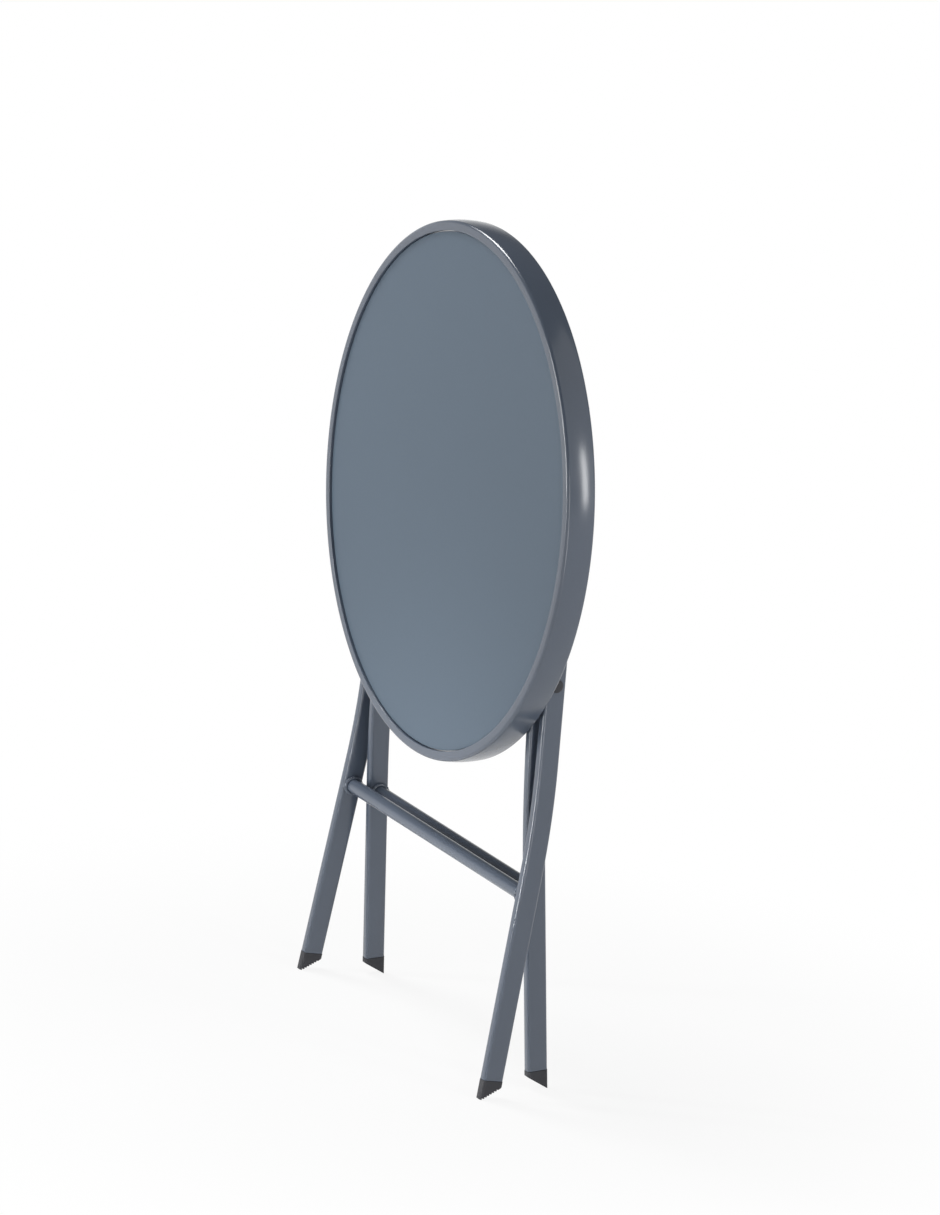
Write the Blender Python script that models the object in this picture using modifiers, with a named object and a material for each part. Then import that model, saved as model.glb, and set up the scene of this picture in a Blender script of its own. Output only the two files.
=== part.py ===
"""Folding bistro table with a round glass top, modelled folded flat and standing on its feet.

Metres, +Z up. X runs along the hinges, -Y is the side that the glass faces while the table is
folded. The outer leg frame has the front feet and carries the tabletop on a hinge at its upper
ends. The inner leg frame has the rear feet, crosses the outer one at the scissor pivots and ends
in a bar that lies in two catches under the glass once the table is open.
"""
import math

import bmesh
import bpy
from mathutils import Matrix, Vector

# Clearance left between pieces that touch or pass through each other
GAP = 0.0003

# Round top: rolled steel rim with an open seam, and the glass dropped into it
RIM_RADIUS = 0.3030
RIM_WIDTH = 0.0124
RIM_DEPTH = 0.0346
RIM_WALL = 0.0015
RIM_CORNER = 0.0024
RIM_CROWN = 0.0008
RIM_SEAM = 0.0015
RIM_SEAM_INSET = 0.0032
RIM_FRONT_Y = -0.0486
TOP_CENTRE_Z = 0.6327
GLASS_RECESS = 0.0029
GLASS_THICKNESS = 0.005
GLASS_EDGE_GAP = 0.0008
GLASS_EDGE_BEVEL = 0.0008
ROUND_STEPS = 128

# Two cross rails under the glass, with soft pads between rail and glass
RAIL_HEIGHT = 0.025
RAIL_DEPTH = 0.010
RAIL_WALL = 0.0012
PAD_RADIUS = 0.007
PAD_THICKNESS = 0.002
PAD_X = 0.110

# Leg tube: flat rounded section, the wide side seen from the side of the table
LEG_WIDTH = 0.0245
LEG_THICKNESS = 0.0122
LEG_CORNER = 0.0036
LEG_WALL = 0.0012
LEG_SPLAY = math.radians(2.446)
FOOT_Y = 0.0366
TUBE_END_Z = 0.0205
LEG_TOP_REACH = 0.010
BEND_POINTS = 9

OUTER_FOOT_X = 0.2392
OUTER_SETBACK = 0.0023
OUTER_LEAN = math.radians(6.74)
OUTER_BEND = 0.120

INNER_FOOT_X = 0.2132
INNER_RIM_GAP = 0.00045
INNER_LEAN = math.radians(6.01)
INNER_BEND = 0.240

# How far each leg frame turns when the table is opened; the soles are cut to this angle
OPEN_ANGLE = math.radians(28.0)

# Plastic feet with a flat toe and grip grooves across the sole, and the plugs in the upper tube ends
FOOT_FLANGE = 0.0003
TOE_DROP = 0.0008
SOLE_GROOVES = 7
SOLE_GROOVE_PITCH = 0.0033
SOLE_GROOVE_WIDTH = 0.0015
SOLE_GROOVE_DEPTH = 0.0011
PLUG_LENGTH = 0.020
PLUG_CAP = 0.0025
PLUG_BOLT_GAP = 0.001
PLUG_CAP_BEVEL = 0.001

# Round crossbars and their weld seams
BAR_RADIUS = 0.0085
BAR_WALL = 0.0012
BAR_LEG_GAP = 0.001366
REAR_BAR_DROP = 0.0021
WELD_REACH = 0.003
BAR_STEPS = 24

# Scissor pivots, below the hinges
PIVOT_DROP = 0.2947
PIVOT_BOLT_RADIUS = 0.004
PIVOT_HEAD_RADIUS = 0.0056
PIVOT_HEAD_HEIGHT = 0.0022
PIVOT_CAP_RADIUS = 0.0073
PIVOT_CAP_WALL = 0.0014
PIVOT_SPACER_RADIUS = 0.008
PIVOT_NUT_RADIUS = 0.007
PIVOT_NUT_HEIGHT = 0.004
SMALL_STEPS = 20

# Tabletop hinges on the upper ends of the outer legs
HINGE_OFFSET = 0.128
EAR_RADIUS = 0.011
EAR_THICKNESS = 0.0025
EAR_SIDE_GAP = 0.0012
BRACKET_HALF_HEIGHT = 0.015
HINGE_BOLT_RADIUS = 0.003
HINGE_HEAD_RADIUS = 0.006
HINGE_HEAD_HEIGHT = 0.0035
HINGE_NUT_RADIUS = 0.0062
HINGE_NUT_HEIGHT = 0.005
BOLT_TAIL = 0.0012

# Catches under the glass for the inner frame's upper bar, and the sleeves on that bar
SLEEVE_RADIUS = 0.011
SLEEVE_LENGTH = 0.030
CATCH_X = 0.120
CATCH_WIDTH = 0.024
CATCH_WALL = 0.0045
CATCH_LIP = 0.003
CATCH_RAMP = 0.014
CATCH_BASE = 0.004
CATCH_TAIL = 0.030
SCREW_RADIUS = 0.002
SCREW_HEAD_RADIUS = 0.0042
SCREW_HEAD_HEIGHT = 0.0022
SCREW_DROP = 0.023
SCREW_LENGTH = 0.010

# Shares of a bolt head's height, a weld seam's reach and a pivot cap's radius and wall that round them off
HEAD_CHAMFER = 0.3
WELD_BULGE = (0.7, 0.6)
PIVOT_CAP_DOME = ((0.6, 0.2), (0.9, 0.8), (1.0, 1.6))

# How finely the small arcs are drawn, and which edges of a plug are softened
TUBE_CORNER_STEPS = 4
EAR_STEPS = 8
CATCH_STEPS = 10
SOFTEN_ANGLE = math.radians(60)

# How far a cutter reaches past what it cuts, and how close points are welded
CUT_OVER = 0.006
WELD_DISTANCE = 0.000001
SPIN_WELD_DISTANCE = 0.00001
AXIS_DISPLAY_SIZE = 0.05

# Finishes: colour, roughness, metallic
FINISHES = {
    "grey_paint": ((0.150, 0.170, 0.198), 0.42, 0.0),
    "grey_glass": ((0.156, 0.194, 0.238), 0.30, 0.0),
    "black_plastic": ((0.026, 0.027, 0.030), 0.50, 0.0),
    "clear_silicone": ((0.62, 0.63, 0.64), 0.40, 0.0),
    "zinc": ((0.56, 0.57, 0.59), 0.34, 1.0),
}

SIDES = (("left", -1), ("right", 1))

# World axes for an outline drawn in the local XY plane: X to +Y, Y to +Z, depth along X
SIDE_VIEW = Matrix(((0, 0, 1), (1, 0, 0), (0, 1, 0)))


def turned_about_x(y, z, angle):
    """Turn a point of the side view about the X axis."""
    new_y = y * math.cos(angle) - z * math.sin(angle)
    new_z = y * math.sin(angle) + z * math.cos(angle)
    return new_y, new_z


# Sizes that follow from the ones above
SPLAY = math.tan(LEG_SPLAY)
GLASS_FRONT_Y = RIM_FRONT_Y + GLASS_RECESS
GLASS_BACK_Y = GLASS_FRONT_Y + GLASS_THICKNESS
RIM_INNER_RADIUS = RIM_RADIUS - RIM_WIDTH
PAD_FRONT_Y = GLASS_BACK_Y + GAP
RAIL_FRONT_Y = PAD_FRONT_Y + PAD_THICKNESS + GAP
RAIL_BACK_Y = RAIL_FRONT_Y + RAIL_DEPTH
SEAT_Y = RAIL_BACK_Y + GAP

# The inner legs lie just behind the rim, and the outer legs a little further back
INNER_UPPER_Y = RIM_FRONT_Y + RIM_DEPTH + INNER_RIM_GAP + LEG_WIDTH / 2
OUTER_UPPER_Y = INNER_UPPER_Y + OUTER_SETBACK
PIVOT_Y = OUTER_UPPER_Y
HINGE_Y = OUTER_UPPER_Y
HINGE_Z = TOP_CENTRE_Z + HINGE_OFFSET
PIVOT_Z = HINGE_Z - PIVOT_DROP

# The front crossbar passes just in front of the inner legs, where both frames are still straight
INNER_HALF_WIDTH = LEG_WIDTH / 2 / math.cos(INNER_LEAN)
BAR_CROSSING = BAR_RADIUS + BAR_LEG_GAP + INNER_HALF_WIDTH
FRONT_BAR_Z = (2 * FOOT_Y - BAR_CROSSING) / (math.tan(OUTER_LEAN) + math.tan(INNER_LEAN))
REAR_BAR_Z = FRONT_BAR_Z - REAR_BAR_DROP

# The upper bar keeps its depth under the glass from the folded to the open table
HINGE_OPEN_Y, HINGE_OPEN_Z = turned_about_x(HINGE_Y - PIVOT_Y, HINGE_Z - PIVOT_Z, -OPEN_ANGLE)
TOP_BAR_Y = INNER_UPPER_Y
TOP_BAR_OFFSET = TOP_BAR_Y - PIVOT_Y
TOP_BAR_OPEN_Z = HINGE_OPEN_Z + HINGE_Y - TOP_BAR_Y
TOP_BAR_RISE = (TOP_BAR_OPEN_Z - TOP_BAR_OFFSET * math.sin(OPEN_ANGLE)) / math.cos(OPEN_ANGLE)
TOP_BAR_Z = PIVOT_Z + TOP_BAR_RISE
TOP_BAR_OPEN_Y = turned_about_x(TOP_BAR_OFFSET, TOP_BAR_RISE, OPEN_ANGLE)[0]
CATCH_Z = HINGE_Z - (HINGE_OPEN_Y - TOP_BAR_OPEN_Y)


def clear_scene():
    """Take every object out of the scene."""
    for item in list(bpy.data.objects):
        bpy.data.objects.remove(item, do_unlink=True)


def make_collection(name):
    """Add a collection to the scene."""
    collection = bpy.data.collections.new(name)
    bpy.context.scene.collection.children.link(collection)
    return collection


def make_finish(name, colour, roughness, metallic):
    """Make one Principled material."""
    material = bpy.data.materials.new(name)
    material.use_nodes = True
    shader = material.node_tree.nodes["Principled BSDF"]
    shader.inputs["Base Color"].default_value = (*colour, 1.0)
    shader.inputs["Roughness"].default_value = roughness
    shader.inputs["Metallic"].default_value = metallic
    return material


def make_axis(name, y, z):
    """Put an empty on a joint's axis."""
    empty = bpy.data.objects.new(name, None)
    empty.location = (0.0, y, z)
    empty.empty_display_size = AXIS_DISPLAY_SIZE
    PARTS.objects.link(empty)
    return empty


def place(item, location, rotation=None):
    """Set where an object stands and which way it is turned."""
    item.location = location
    if rotation is not None:
        item.rotation_euler = rotation.to_euler()
    return item


def add_part(name, mesh, finish, axis, location=(0, 0, 0), rotation=None, smooth=True):
    """Add one piece of the table under the empty of the body that it moves with."""
    item = bpy.data.objects.new(name, mesh)
    PARTS.objects.link(item)
    item.parent = axis
    place(item, Vector(location) - axis.location, rotation)
    mesh.materials.append(bpy.data.materials[finish])
    mesh.polygons.foreach_set("use_smooth", [smooth] * len(mesh.polygons))
    return item


def add_cutter(name, mesh, location=(0, 0, 0), rotation=None):
    """Add a hidden solid that only shapes other pieces."""
    item = bpy.data.objects.new(name, mesh)
    CUTTERS.objects.link(item)
    item.hide_render = True
    item.display_type = "WIRE"
    return place(item, location, rotation)


def shape_with(item, other, operation="DIFFERENCE"):
    """Cut, join or trim a piece with another solid."""
    modifier = item.modifiers.new(operation.lower(), "BOOLEAN")
    modifier.operation = operation
    modifier.solver = "EXACT"
    modifier.object = other


def weld_mesh(work, name):
    """Weld a working mesh, face it outwards and hand it over."""
    bmesh.ops.remove_doubles(work, verts=work.verts, dist=WELD_DISTANCE)
    bmesh.ops.recalc_face_normals(work, faces=work.faces)
    mesh = bpy.data.meshes.new(name)
    work.to_mesh(mesh)
    work.free()
    return mesh


def box_mesh(name, size):
    """A box about its own centre."""
    work = bmesh.new()
    bmesh.ops.create_cube(work, size=1.0)
    bmesh.ops.scale(work, vec=size, verts=work.verts)
    return weld_mesh(work, name)


def box_row_mesh(name, size, places):
    """Equal boxes in a row along Y."""
    work = bmesh.new()
    for place_y in places:
        box = bmesh.ops.create_cube(work, size=1.0)["verts"]
        bmesh.ops.scale(work, vec=size, verts=box)
        bmesh.ops.translate(work, vec=(0.0, place_y, 0.0), verts=box)
    return weld_mesh(work, name)


def rod_mesh(name, radius, length, steps):
    """A round rod along Z about its own centre."""
    work = bmesh.new()
    bmesh.ops.create_cone(work, cap_ends=True, segments=steps, radius1=radius, radius2=radius, depth=length)
    return weld_mesh(work, name)


def curve_mesh(curve, name):
    """Turn a curve into a welded mesh and drop the curve."""
    item = bpy.data.objects.new(name, curve)
    CUTTERS.objects.link(item)
    bpy.context.view_layer.update()
    evaluated = item.evaluated_get(bpy.context.evaluated_depsgraph_get())
    mesh = bpy.data.meshes.new_from_object(evaluated)
    work = bmesh.new()
    work.from_mesh(mesh)
    bpy.data.objects.remove(item, do_unlink=True)
    bpy.data.meshes.remove(mesh)
    return weld_mesh(work, name)


def add_points(curve, points, closed):
    """Add one straight-sided line of points to a curve."""
    spline = curve.splines.new("POLY")
    spline.points.add(len(points) - 1)
    for point, (x, y) in zip(spline.points, points):
        point.co = (x, y, 0.0, 1.0)
    spline.use_cyclic_u = closed


def section_points(width, thickness, corner):
    """Outline of the rounded flat tube section, wide along X."""
    points = []
    for quarter in range(4):
        centre_x = (width / 2 - corner) * (1 if quarter in (0, 3) else -1)
        centre_y = (thickness / 2 - corner) * (1 if quarter in (0, 1) else -1)
        for step in range(TUBE_CORNER_STEPS + 1):
            angle = math.pi / 2 * (quarter + step / TUBE_CORNER_STEPS)
            points.append((centre_x + corner * math.cos(angle), centre_y + corner * math.sin(angle)))
    return points


def swept_mesh(name, path, shrink):
    """Sweep the leg section, made smaller all round by shrink, along a path in the leg's plane."""
    section = bpy.data.curves.new(name + "_section", "CURVE")
    section.dimensions = "2D"
    section.fill_mode = "NONE"
    width = LEG_WIDTH - 2 * shrink
    thickness = LEG_THICKNESS - 2 * shrink
    add_points(section, section_points(width, thickness, LEG_CORNER - shrink), True)
    section_item = bpy.data.objects.new(name + "_section", section)
    CUTTERS.objects.link(section_item)
    curve = bpy.data.curves.new(name + "_path", "CURVE")
    curve.dimensions = "3D"
    curve.twist_mode = "Z_UP"
    curve.bevel_mode = "OBJECT"
    curve.bevel_object = section_item
    curve.use_fill_caps = True
    add_points(curve, path, False)
    mesh = curve_mesh(curve, name)
    bpy.data.objects.remove(section_item, do_unlink=True)
    return mesh


def outline_mesh(name, points, thickness):
    """A flat outline given a thickness."""
    curve = bpy.data.curves.new(name + "_outline", "CURVE")
    curve.dimensions = "2D"
    curve.fill_mode = "BOTH"
    curve.extrude = thickness / 2
    add_points(curve, points, True)
    return curve_mesh(curve, name)


def turned_part(name, profile, closed, steps, finish, axis, location, rotation=None):
    """A turned piece: a profile of radius and height, spun about its local Z axis."""
    mesh = bpy.data.meshes.new(name)
    verts = [(radius, 0.0, height) for radius, height in profile]
    edges = [(step, step + 1) for step in range(len(profile) - 1)]
    if closed:
        edges.append((len(profile) - 1, 0))
    mesh.from_pydata(verts, edges, [])
    item = add_part(name, mesh, finish, axis, location, rotation)
    screw = item.modifiers.new("spin", "SCREW")
    screw.angle = math.tau
    screw.steps = steps
    screw.render_steps = steps
    screw.use_merge_vertices = True
    screw.merge_threshold = SPIN_WELD_DISTANCE
    screw.use_smooth_shade = True
    return item


def ring_profile(inner, outer, bottom, top):
    """Profile of a plain ring."""
    return [(outer, top), (outer, bottom), (inner, bottom), (inner, top)]


def stud_profile(head_radius, head_height, shank_radius, shank_length):
    """Profile of a bolt: a chamfered head above z = 0 and a shank below it."""
    chamfer = head_height * HEAD_CHAMFER
    return [
        (0.0, head_height),
        (head_radius - chamfer, head_height),
        (head_radius, head_height - chamfer),
        (head_radius, 0.0),
        (shank_radius, 0.0),
        (shank_radius, -shank_length),
        (0.0, -shank_length),
    ]


def outward(side):
    """Rotation that points a piece's local Z axis away from the table's middle plane."""
    return Matrix.Rotation(side * math.pi / 2, 3, "Y")


def leg_rotation(side):
    """Rotation that stands a leg's drawing plane up, splayed outwards at the foot."""
    up = Vector((-side * math.sin(LEG_SPLAY), 0.0, math.cos(LEG_SPLAY)))
    along = Vector((0.0, 1.0, 0.0))
    return Matrix((along, up, along.cross(up))).transposed()


def leg_x(foot_x, z):
    """Distance of a leg's centre from the middle plane at a height."""
    return foot_x - SPLAY * z


def leg_line(front, upper_y, lean, bend):
    """Function giving a leg's centre line in the side view; front is -1 for a front foot."""
    slope = math.tan(lean)
    middle = (upper_y - front * FOOT_Y) / (-front * slope)
    bend_start = middle - bend / 2

    def centre_y(z):
        past = min(max(z - bend_start, 0.0), bend)
        straight = front * FOOT_Y - front * slope * min(z, bend_start)
        curved = past - past * past / (2 * bend)
        return straight - front * slope * curved

    bend_heights = [bend_start + bend * step / (BEND_POINTS - 1) for step in range(BEND_POINTS)]
    return centre_y, bend_heights


def leg_path(line, bottom, top):
    """Points of a leg's centre line between two heights, in the leg's own plane."""
    centre_y, bend_heights = line
    heights = [bottom] + [z for z in bend_heights if bottom < z < top] + [top]
    return [(centre_y(z), z / math.cos(LEG_SPLAY)) for z in heights]


OUTER_LINE = leg_line(-1, OUTER_UPPER_Y, OUTER_LEAN, OUTER_BEND)
INNER_LINE = leg_line(1, INNER_UPPER_Y, INNER_LEAN, INNER_BEND)


def build_rim(axis):
    """The rolled rim, spun from its open-seamed section."""
    inner = RIM_INNER_RADIUS
    outer = RIM_RADIUS - RIM_CROWN
    back = -RIM_DEPTH
    seam_back = back + RIM_SEAM_INSET
    seam_front = seam_back + RIM_SEAM
    nip = RIM_CORNER * (1 - math.sqrt(0.5))
    profile = [
        (inner, seam_front),
        (inner, -RIM_CORNER),
        (inner + nip, -nip),
        (inner + RIM_CORNER, 0.0),
        (outer - RIM_CORNER, 0.0),
        (outer - nip, -nip),
        (outer, -RIM_CORNER),
        (RIM_RADIUS, back / 2),
        (outer, back + RIM_CORNER),
        (outer - nip, back + nip),
        (outer - RIM_CORNER, back),
        (inner + RIM_CORNER, back),
        (inner, back + RIM_CORNER),
        (inner, seam_back),
        (inner + RIM_WALL, seam_back),
        (inner + RIM_WALL, back + RIM_WALL),
        (outer - RIM_WALL, back + RIM_WALL),
        (outer - RIM_WALL, -RIM_WALL),
        (inner + RIM_WALL, -RIM_WALL),
        (inner + RIM_WALL, seam_front),
    ]
    facing = Matrix.Rotation(math.pi / 2, 3, "X")
    location = (0.0, RIM_FRONT_Y, TOP_CENTRE_Z)
    turned_part("top_rim", profile, True, ROUND_STEPS, "grey_paint", axis, location, facing)


def build_glass(axis):
    """The glass disc with a polished edge, and the pads that it lies on."""
    radius = RIM_INNER_RADIUS - GLASS_EDGE_GAP
    profile = [
        (0.0, 0.0),
        (radius - GLASS_EDGE_BEVEL, 0.0),
        (radius, -GLASS_EDGE_BEVEL),
        (radius, GLASS_EDGE_BEVEL - GLASS_THICKNESS),
        (radius - GLASS_EDGE_BEVEL, -GLASS_THICKNESS),
        (0.0, -GLASS_THICKNESS),
    ]
    facing = Matrix.Rotation(math.pi / 2, 3, "X")
    location = (0.0, GLASS_FRONT_Y, TOP_CENTRE_Z)
    turned_part("glass_top", profile, False, ROUND_STEPS, "grey_glass", axis, location, facing)
    for row, z in (("upper", HINGE_Z), ("lower", CATCH_Z)):
        for name, side in SIDES:
            mesh = rod_mesh("pad", PAD_RADIUS, PAD_THICKNESS, SMALL_STEPS)
            location = (side * PAD_X, PAD_FRONT_Y + PAD_THICKNESS / 2, z)
            add_part(f"glass_pad_{row}_{name}", mesh, "clear_silicone", axis, location, facing)


def build_rail(name, axis, z):
    """One cross rail under the glass, trimmed to the inside of the rim."""
    middle = (0.0, (RAIL_FRONT_Y + RAIL_BACK_Y) / 2, z)
    length = 2 * RIM_RADIUS
    mesh = box_mesh(name, (length, RAIL_DEPTH, RAIL_HEIGHT))
    rail = add_part(name, mesh, "grey_paint", axis, middle, None, False)
    hollow = (length + CUT_OVER, RAIL_DEPTH - 2 * RAIL_WALL, RAIL_HEIGHT - 2 * RAIL_WALL)
    shape_with(rail, add_cutter(name + "_hollow", box_mesh("hollow", hollow), middle))
    trim = rod_mesh("trim", RIM_INNER_RADIUS - GAP, RIM_DEPTH, ROUND_STEPS)
    facing = Matrix.Rotation(math.pi / 2, 3, "X")
    trim_item = add_cutter(name + "_trim", trim, (0.0, middle[1], TOP_CENTRE_Z), facing)
    shape_with(rail, trim_item, "INTERSECT")
    return rail


def build_hinge(axis, name, side):
    """A U bracket on the hinge rail with the bolt and nut that the outer leg turns on."""
    x = side * leg_x(OUTER_FOOT_X, HINGE_Z)
    half_slot = LEG_THICKNESS / 2 + EAR_SIDE_GAP
    half_width = half_slot + EAR_THICKNESS
    root = SEAT_Y - HINGE_Y
    points = [(root, BRACKET_HALF_HEIGHT), (root, -BRACKET_HALF_HEIGHT)]
    for step in range(EAR_STEPS + 1):
        angle = -math.pi / 2 + math.pi * step / EAR_STEPS
        points.append((EAR_RADIUS * math.cos(angle), EAR_RADIUS * math.sin(angle)))
    mesh = outline_mesh("ear", points, 2 * half_width)
    place_at = (x, HINGE_Y, HINGE_Z)
    bracket = add_part(f"hinge_bracket_{name}", mesh, "grey_paint", axis, place_at, SIDE_VIEW, False)
    floor = SEAT_Y + EAR_THICKNESS
    slot_depth = HINGE_Y + EAR_RADIUS + CUT_OVER - floor
    slot = box_mesh("slot", (2 * half_slot, slot_depth, 4 * BRACKET_HALF_HEIGHT))
    slot_at = (x, floor + slot_depth / 2, HINGE_Z)
    shape_with(bracket, add_cutter(f"hinge_slot_{name}", slot, slot_at))
    hole = rod_mesh("hole", HINGE_BOLT_RADIUS + GAP, 2 * half_width + CUT_OVER, SMALL_STEPS)
    hole_item = add_cutter(f"hinge_hole_{name}", hole, place_at, outward(side))
    shape_with(bracket, hole_item)
    grip = 2 * (half_width + GAP)
    profile = stud_profile(
        HINGE_HEAD_RADIUS, HINGE_HEAD_HEIGHT, HINGE_BOLT_RADIUS, grip + HINGE_NUT_HEIGHT + BOLT_TAIL)
    head_at = (x + side * grip / 2, HINGE_Y, HINGE_Z)
    turned_part(f"hinge_bolt_{name}", profile, False, SMALL_STEPS, "zinc", axis, head_at, outward(side))
    nut = rod_mesh("nut", HINGE_NUT_RADIUS, HINGE_NUT_HEIGHT, 6)
    nut_at = (x - side * (grip + HINGE_NUT_HEIGHT) / 2, HINGE_Y, HINGE_Z)
    nut_item = add_part(f"hinge_nut_{name}", nut, "zinc", axis, nut_at, outward(side), False)
    thread = rod_mesh("thread", HINGE_BOLT_RADIUS + GAP, HINGE_NUT_HEIGHT + CUT_OVER, SMALL_STEPS)
    shape_with(nut_item, add_cutter(f"hinge_thread_{name}", thread, nut_at, outward(side)))
    return hole_item


def build_catch(axis, name, side, rail):
    """A plastic catch on the lower rail, open towards the hinge, with its screw."""
    bar = TOP_BAR_Y - SEAT_Y
    seat = SLEEVE_RADIUS + GAP
    shell = seat + CATCH_WALL
    points = [(0.0, -CATCH_TAIL), (CATCH_BASE, -CATCH_TAIL), (CATCH_BASE, -shell)]
    for step in range(CATCH_STEPS // 2 + 1):
        angle = -math.pi / 2 + math.pi * step / CATCH_STEPS
        points.append((bar + shell * math.cos(angle), shell * math.sin(angle)))
    points.append((bar + shell, CATCH_LIP))
    points.append((bar + seat, CATCH_LIP))
    for step in range(CATCH_STEPS + 1):
        angle = -math.pi * step / CATCH_STEPS
        points.append((bar + seat * math.cos(angle), seat * math.sin(angle)))
    points.append((bar - seat, CATCH_RAMP))
    points.append((0.0, CATCH_RAMP))
    mesh = outline_mesh("catch", points, CATCH_WIDTH)
    x = side * CATCH_X
    catch = add_part(f"catch_{name}", mesh, "black_plastic", axis, (x, SEAT_Y, CATCH_Z), SIDE_VIEW, False)
    screw_z = CATCH_Z - SCREW_DROP
    backwards = Matrix.Rotation(-math.pi / 2, 3, "X")
    head_at = (x, SEAT_Y + CATCH_BASE + GAP, screw_z)
    profile = stud_profile(SCREW_HEAD_RADIUS, SCREW_HEAD_HEIGHT, SCREW_RADIUS, SCREW_LENGTH)
    turned_part(f"catch_screw_{name}", profile, False, SMALL_STEPS, "zinc", axis, head_at, backwards)
    hole = rod_mesh("hole", SCREW_RADIUS + GAP, 2 * SCREW_LENGTH + CUT_OVER, SMALL_STEPS)
    hole_item = add_cutter(f"catch_hole_{name}", hole, head_at, backwards)
    shape_with(catch, hole_item)
    shape_with(rail, hole_item)


def build_leg(name, side, axis, foot_x, line, top):
    """One hollow leg tube from its foot to its upper end."""
    rotation = leg_rotation(side)
    location = (side * foot_x, 0.0, 0.0)
    mesh = swept_mesh(name, leg_path(line, TUBE_END_Z, top), 0.0)
    leg = add_part(name, mesh, "grey_paint", axis, location, rotation)
    bore = swept_mesh(name + "_bore", leg_path(line, TUBE_END_Z - CUT_OVER, top + CUT_OVER), LEG_WALL)
    shape_with(leg, add_cutter(name + "_bore", bore, location, rotation))
    return leg


def build_foot(name, side, axis, foot_x, line, front, lean):
    """A plastic foot: a plug in the tube and a wedge whose sole lies flat when the table is open."""
    rotation = leg_rotation(side)
    location = (side * foot_x, 0.0, 0.0)
    wedge = swept_mesh(name, leg_path(line, -LEG_WIDTH, TUBE_END_Z - GAP), -FOOT_FLANGE)
    foot = add_part(name, wedge, "black_plastic", axis, location, rotation)
    plug_path = leg_path(line, TUBE_END_Z - CUT_OVER, TUBE_END_Z + PLUG_LENGTH)
    plug = swept_mesh(name + "_plug", plug_path, LEG_WALL + GAP)
    shape_with(foot, add_cutter(name + "_plug", plug, location, rotation), "UNION")
    tip_y = front * (FOOT_Y + (LEG_WIDTH / 2 + FOOT_FLANGE) / math.cos(lean))
    block = 4 * LEG_WIDTH
    tilt = -front * OPEN_ANGLE
    drop_y, drop_z = turned_about_x(0.0, -block / 2, tilt)
    sole_at = (side * foot_x, tip_y + drop_y, drop_z - TOE_DROP)
    sole = add_cutter(name + "_sole", box_mesh("sole", (block, block, block)), sole_at)
    sole.rotation_euler = (tilt, 0.0, 0.0)
    shape_with(foot, sole)
    toe_at = (side * foot_x, tip_y, -block / 2)
    shape_with(foot, add_cutter(name + "_toe", box_mesh("toe", (block, block, block)), toe_at))
    places = [-front * SOLE_GROOVE_PITCH * (step + 1) for step in range(SOLE_GROOVES)]
    groove_size = (block, SOLE_GROOVE_WIDTH, 2 * SOLE_GROOVE_DEPTH)
    groove_at = (side * foot_x, tip_y, -TOE_DROP)
    grooves = add_cutter(name + "_grooves", box_row_mesh("grooves", groove_size, places), groove_at)
    grooves.rotation_euler = (tilt, 0.0, 0.0)
    shape_with(foot, grooves)


def build_leg_plug(name, side, axis, foot_x, line, top):
    """The plastic plug that closes a tube's upper end."""
    rotation = leg_rotation(side)
    location = (side * foot_x, 0.0, 0.0)
    cap = swept_mesh(name, leg_path(line, top + GAP, top + GAP + PLUG_CAP), 0.0)
    plug = add_part(name, cap, "black_plastic", axis, location, rotation)
    soften = plug.modifiers.new("soften", "BEVEL")
    soften.width = PLUG_CAP_BEVEL
    soften.segments = 1
    soften.limit_method = "ANGLE"
    soften.angle_limit = SOFTEN_ANGLE
    stem_length = LEG_TOP_REACH - HINGE_BOLT_RADIUS - PLUG_BOLT_GAP
    stem_path = leg_path(line, top - stem_length, top + GAP + PLUG_CAP / 2)
    stem = swept_mesh(name + "_stem", stem_path, LEG_WALL + GAP)
    shape_with(plug, add_cutter(name + "_stem", stem, location, rotation), "UNION")


def build_crossbar(name, weld_name, axis, foot_x, y, z):
    """A round tube between two legs with a weld seam at each end."""
    face_x = leg_x(foot_x, z) - LEG_THICKNESS / 2 / math.cos(LEG_SPLAY)
    half = face_x - SPLAY * BAR_RADIUS - GAP
    profile = ring_profile(BAR_RADIUS - BAR_WALL, BAR_RADIUS, -half, half)
    turned_part(name, profile, True, BAR_STEPS, "grey_paint", axis, (0.0, y, z), outward(1))
    seam_radius = BAR_RADIUS + WELD_REACH
    seam_x = face_x - SPLAY * seam_radius - GAP
    bulge_out, bulge_along = WELD_BULGE
    for side_name, side in SIDES:
        profile = [
            (BAR_RADIUS + GAP, 0.0),
            (seam_radius, 0.0),
            (BAR_RADIUS + WELD_REACH * bulge_out, -WELD_REACH * bulge_along),
            (BAR_RADIUS + GAP, -WELD_REACH),
        ]
        seam_at = (side * seam_x, y, z)
        seam_name = f"{weld_name}_{side_name}"
        turned_part(seam_name, profile, True, BAR_STEPS, "grey_paint", axis, seam_at, outward(side))


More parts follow.
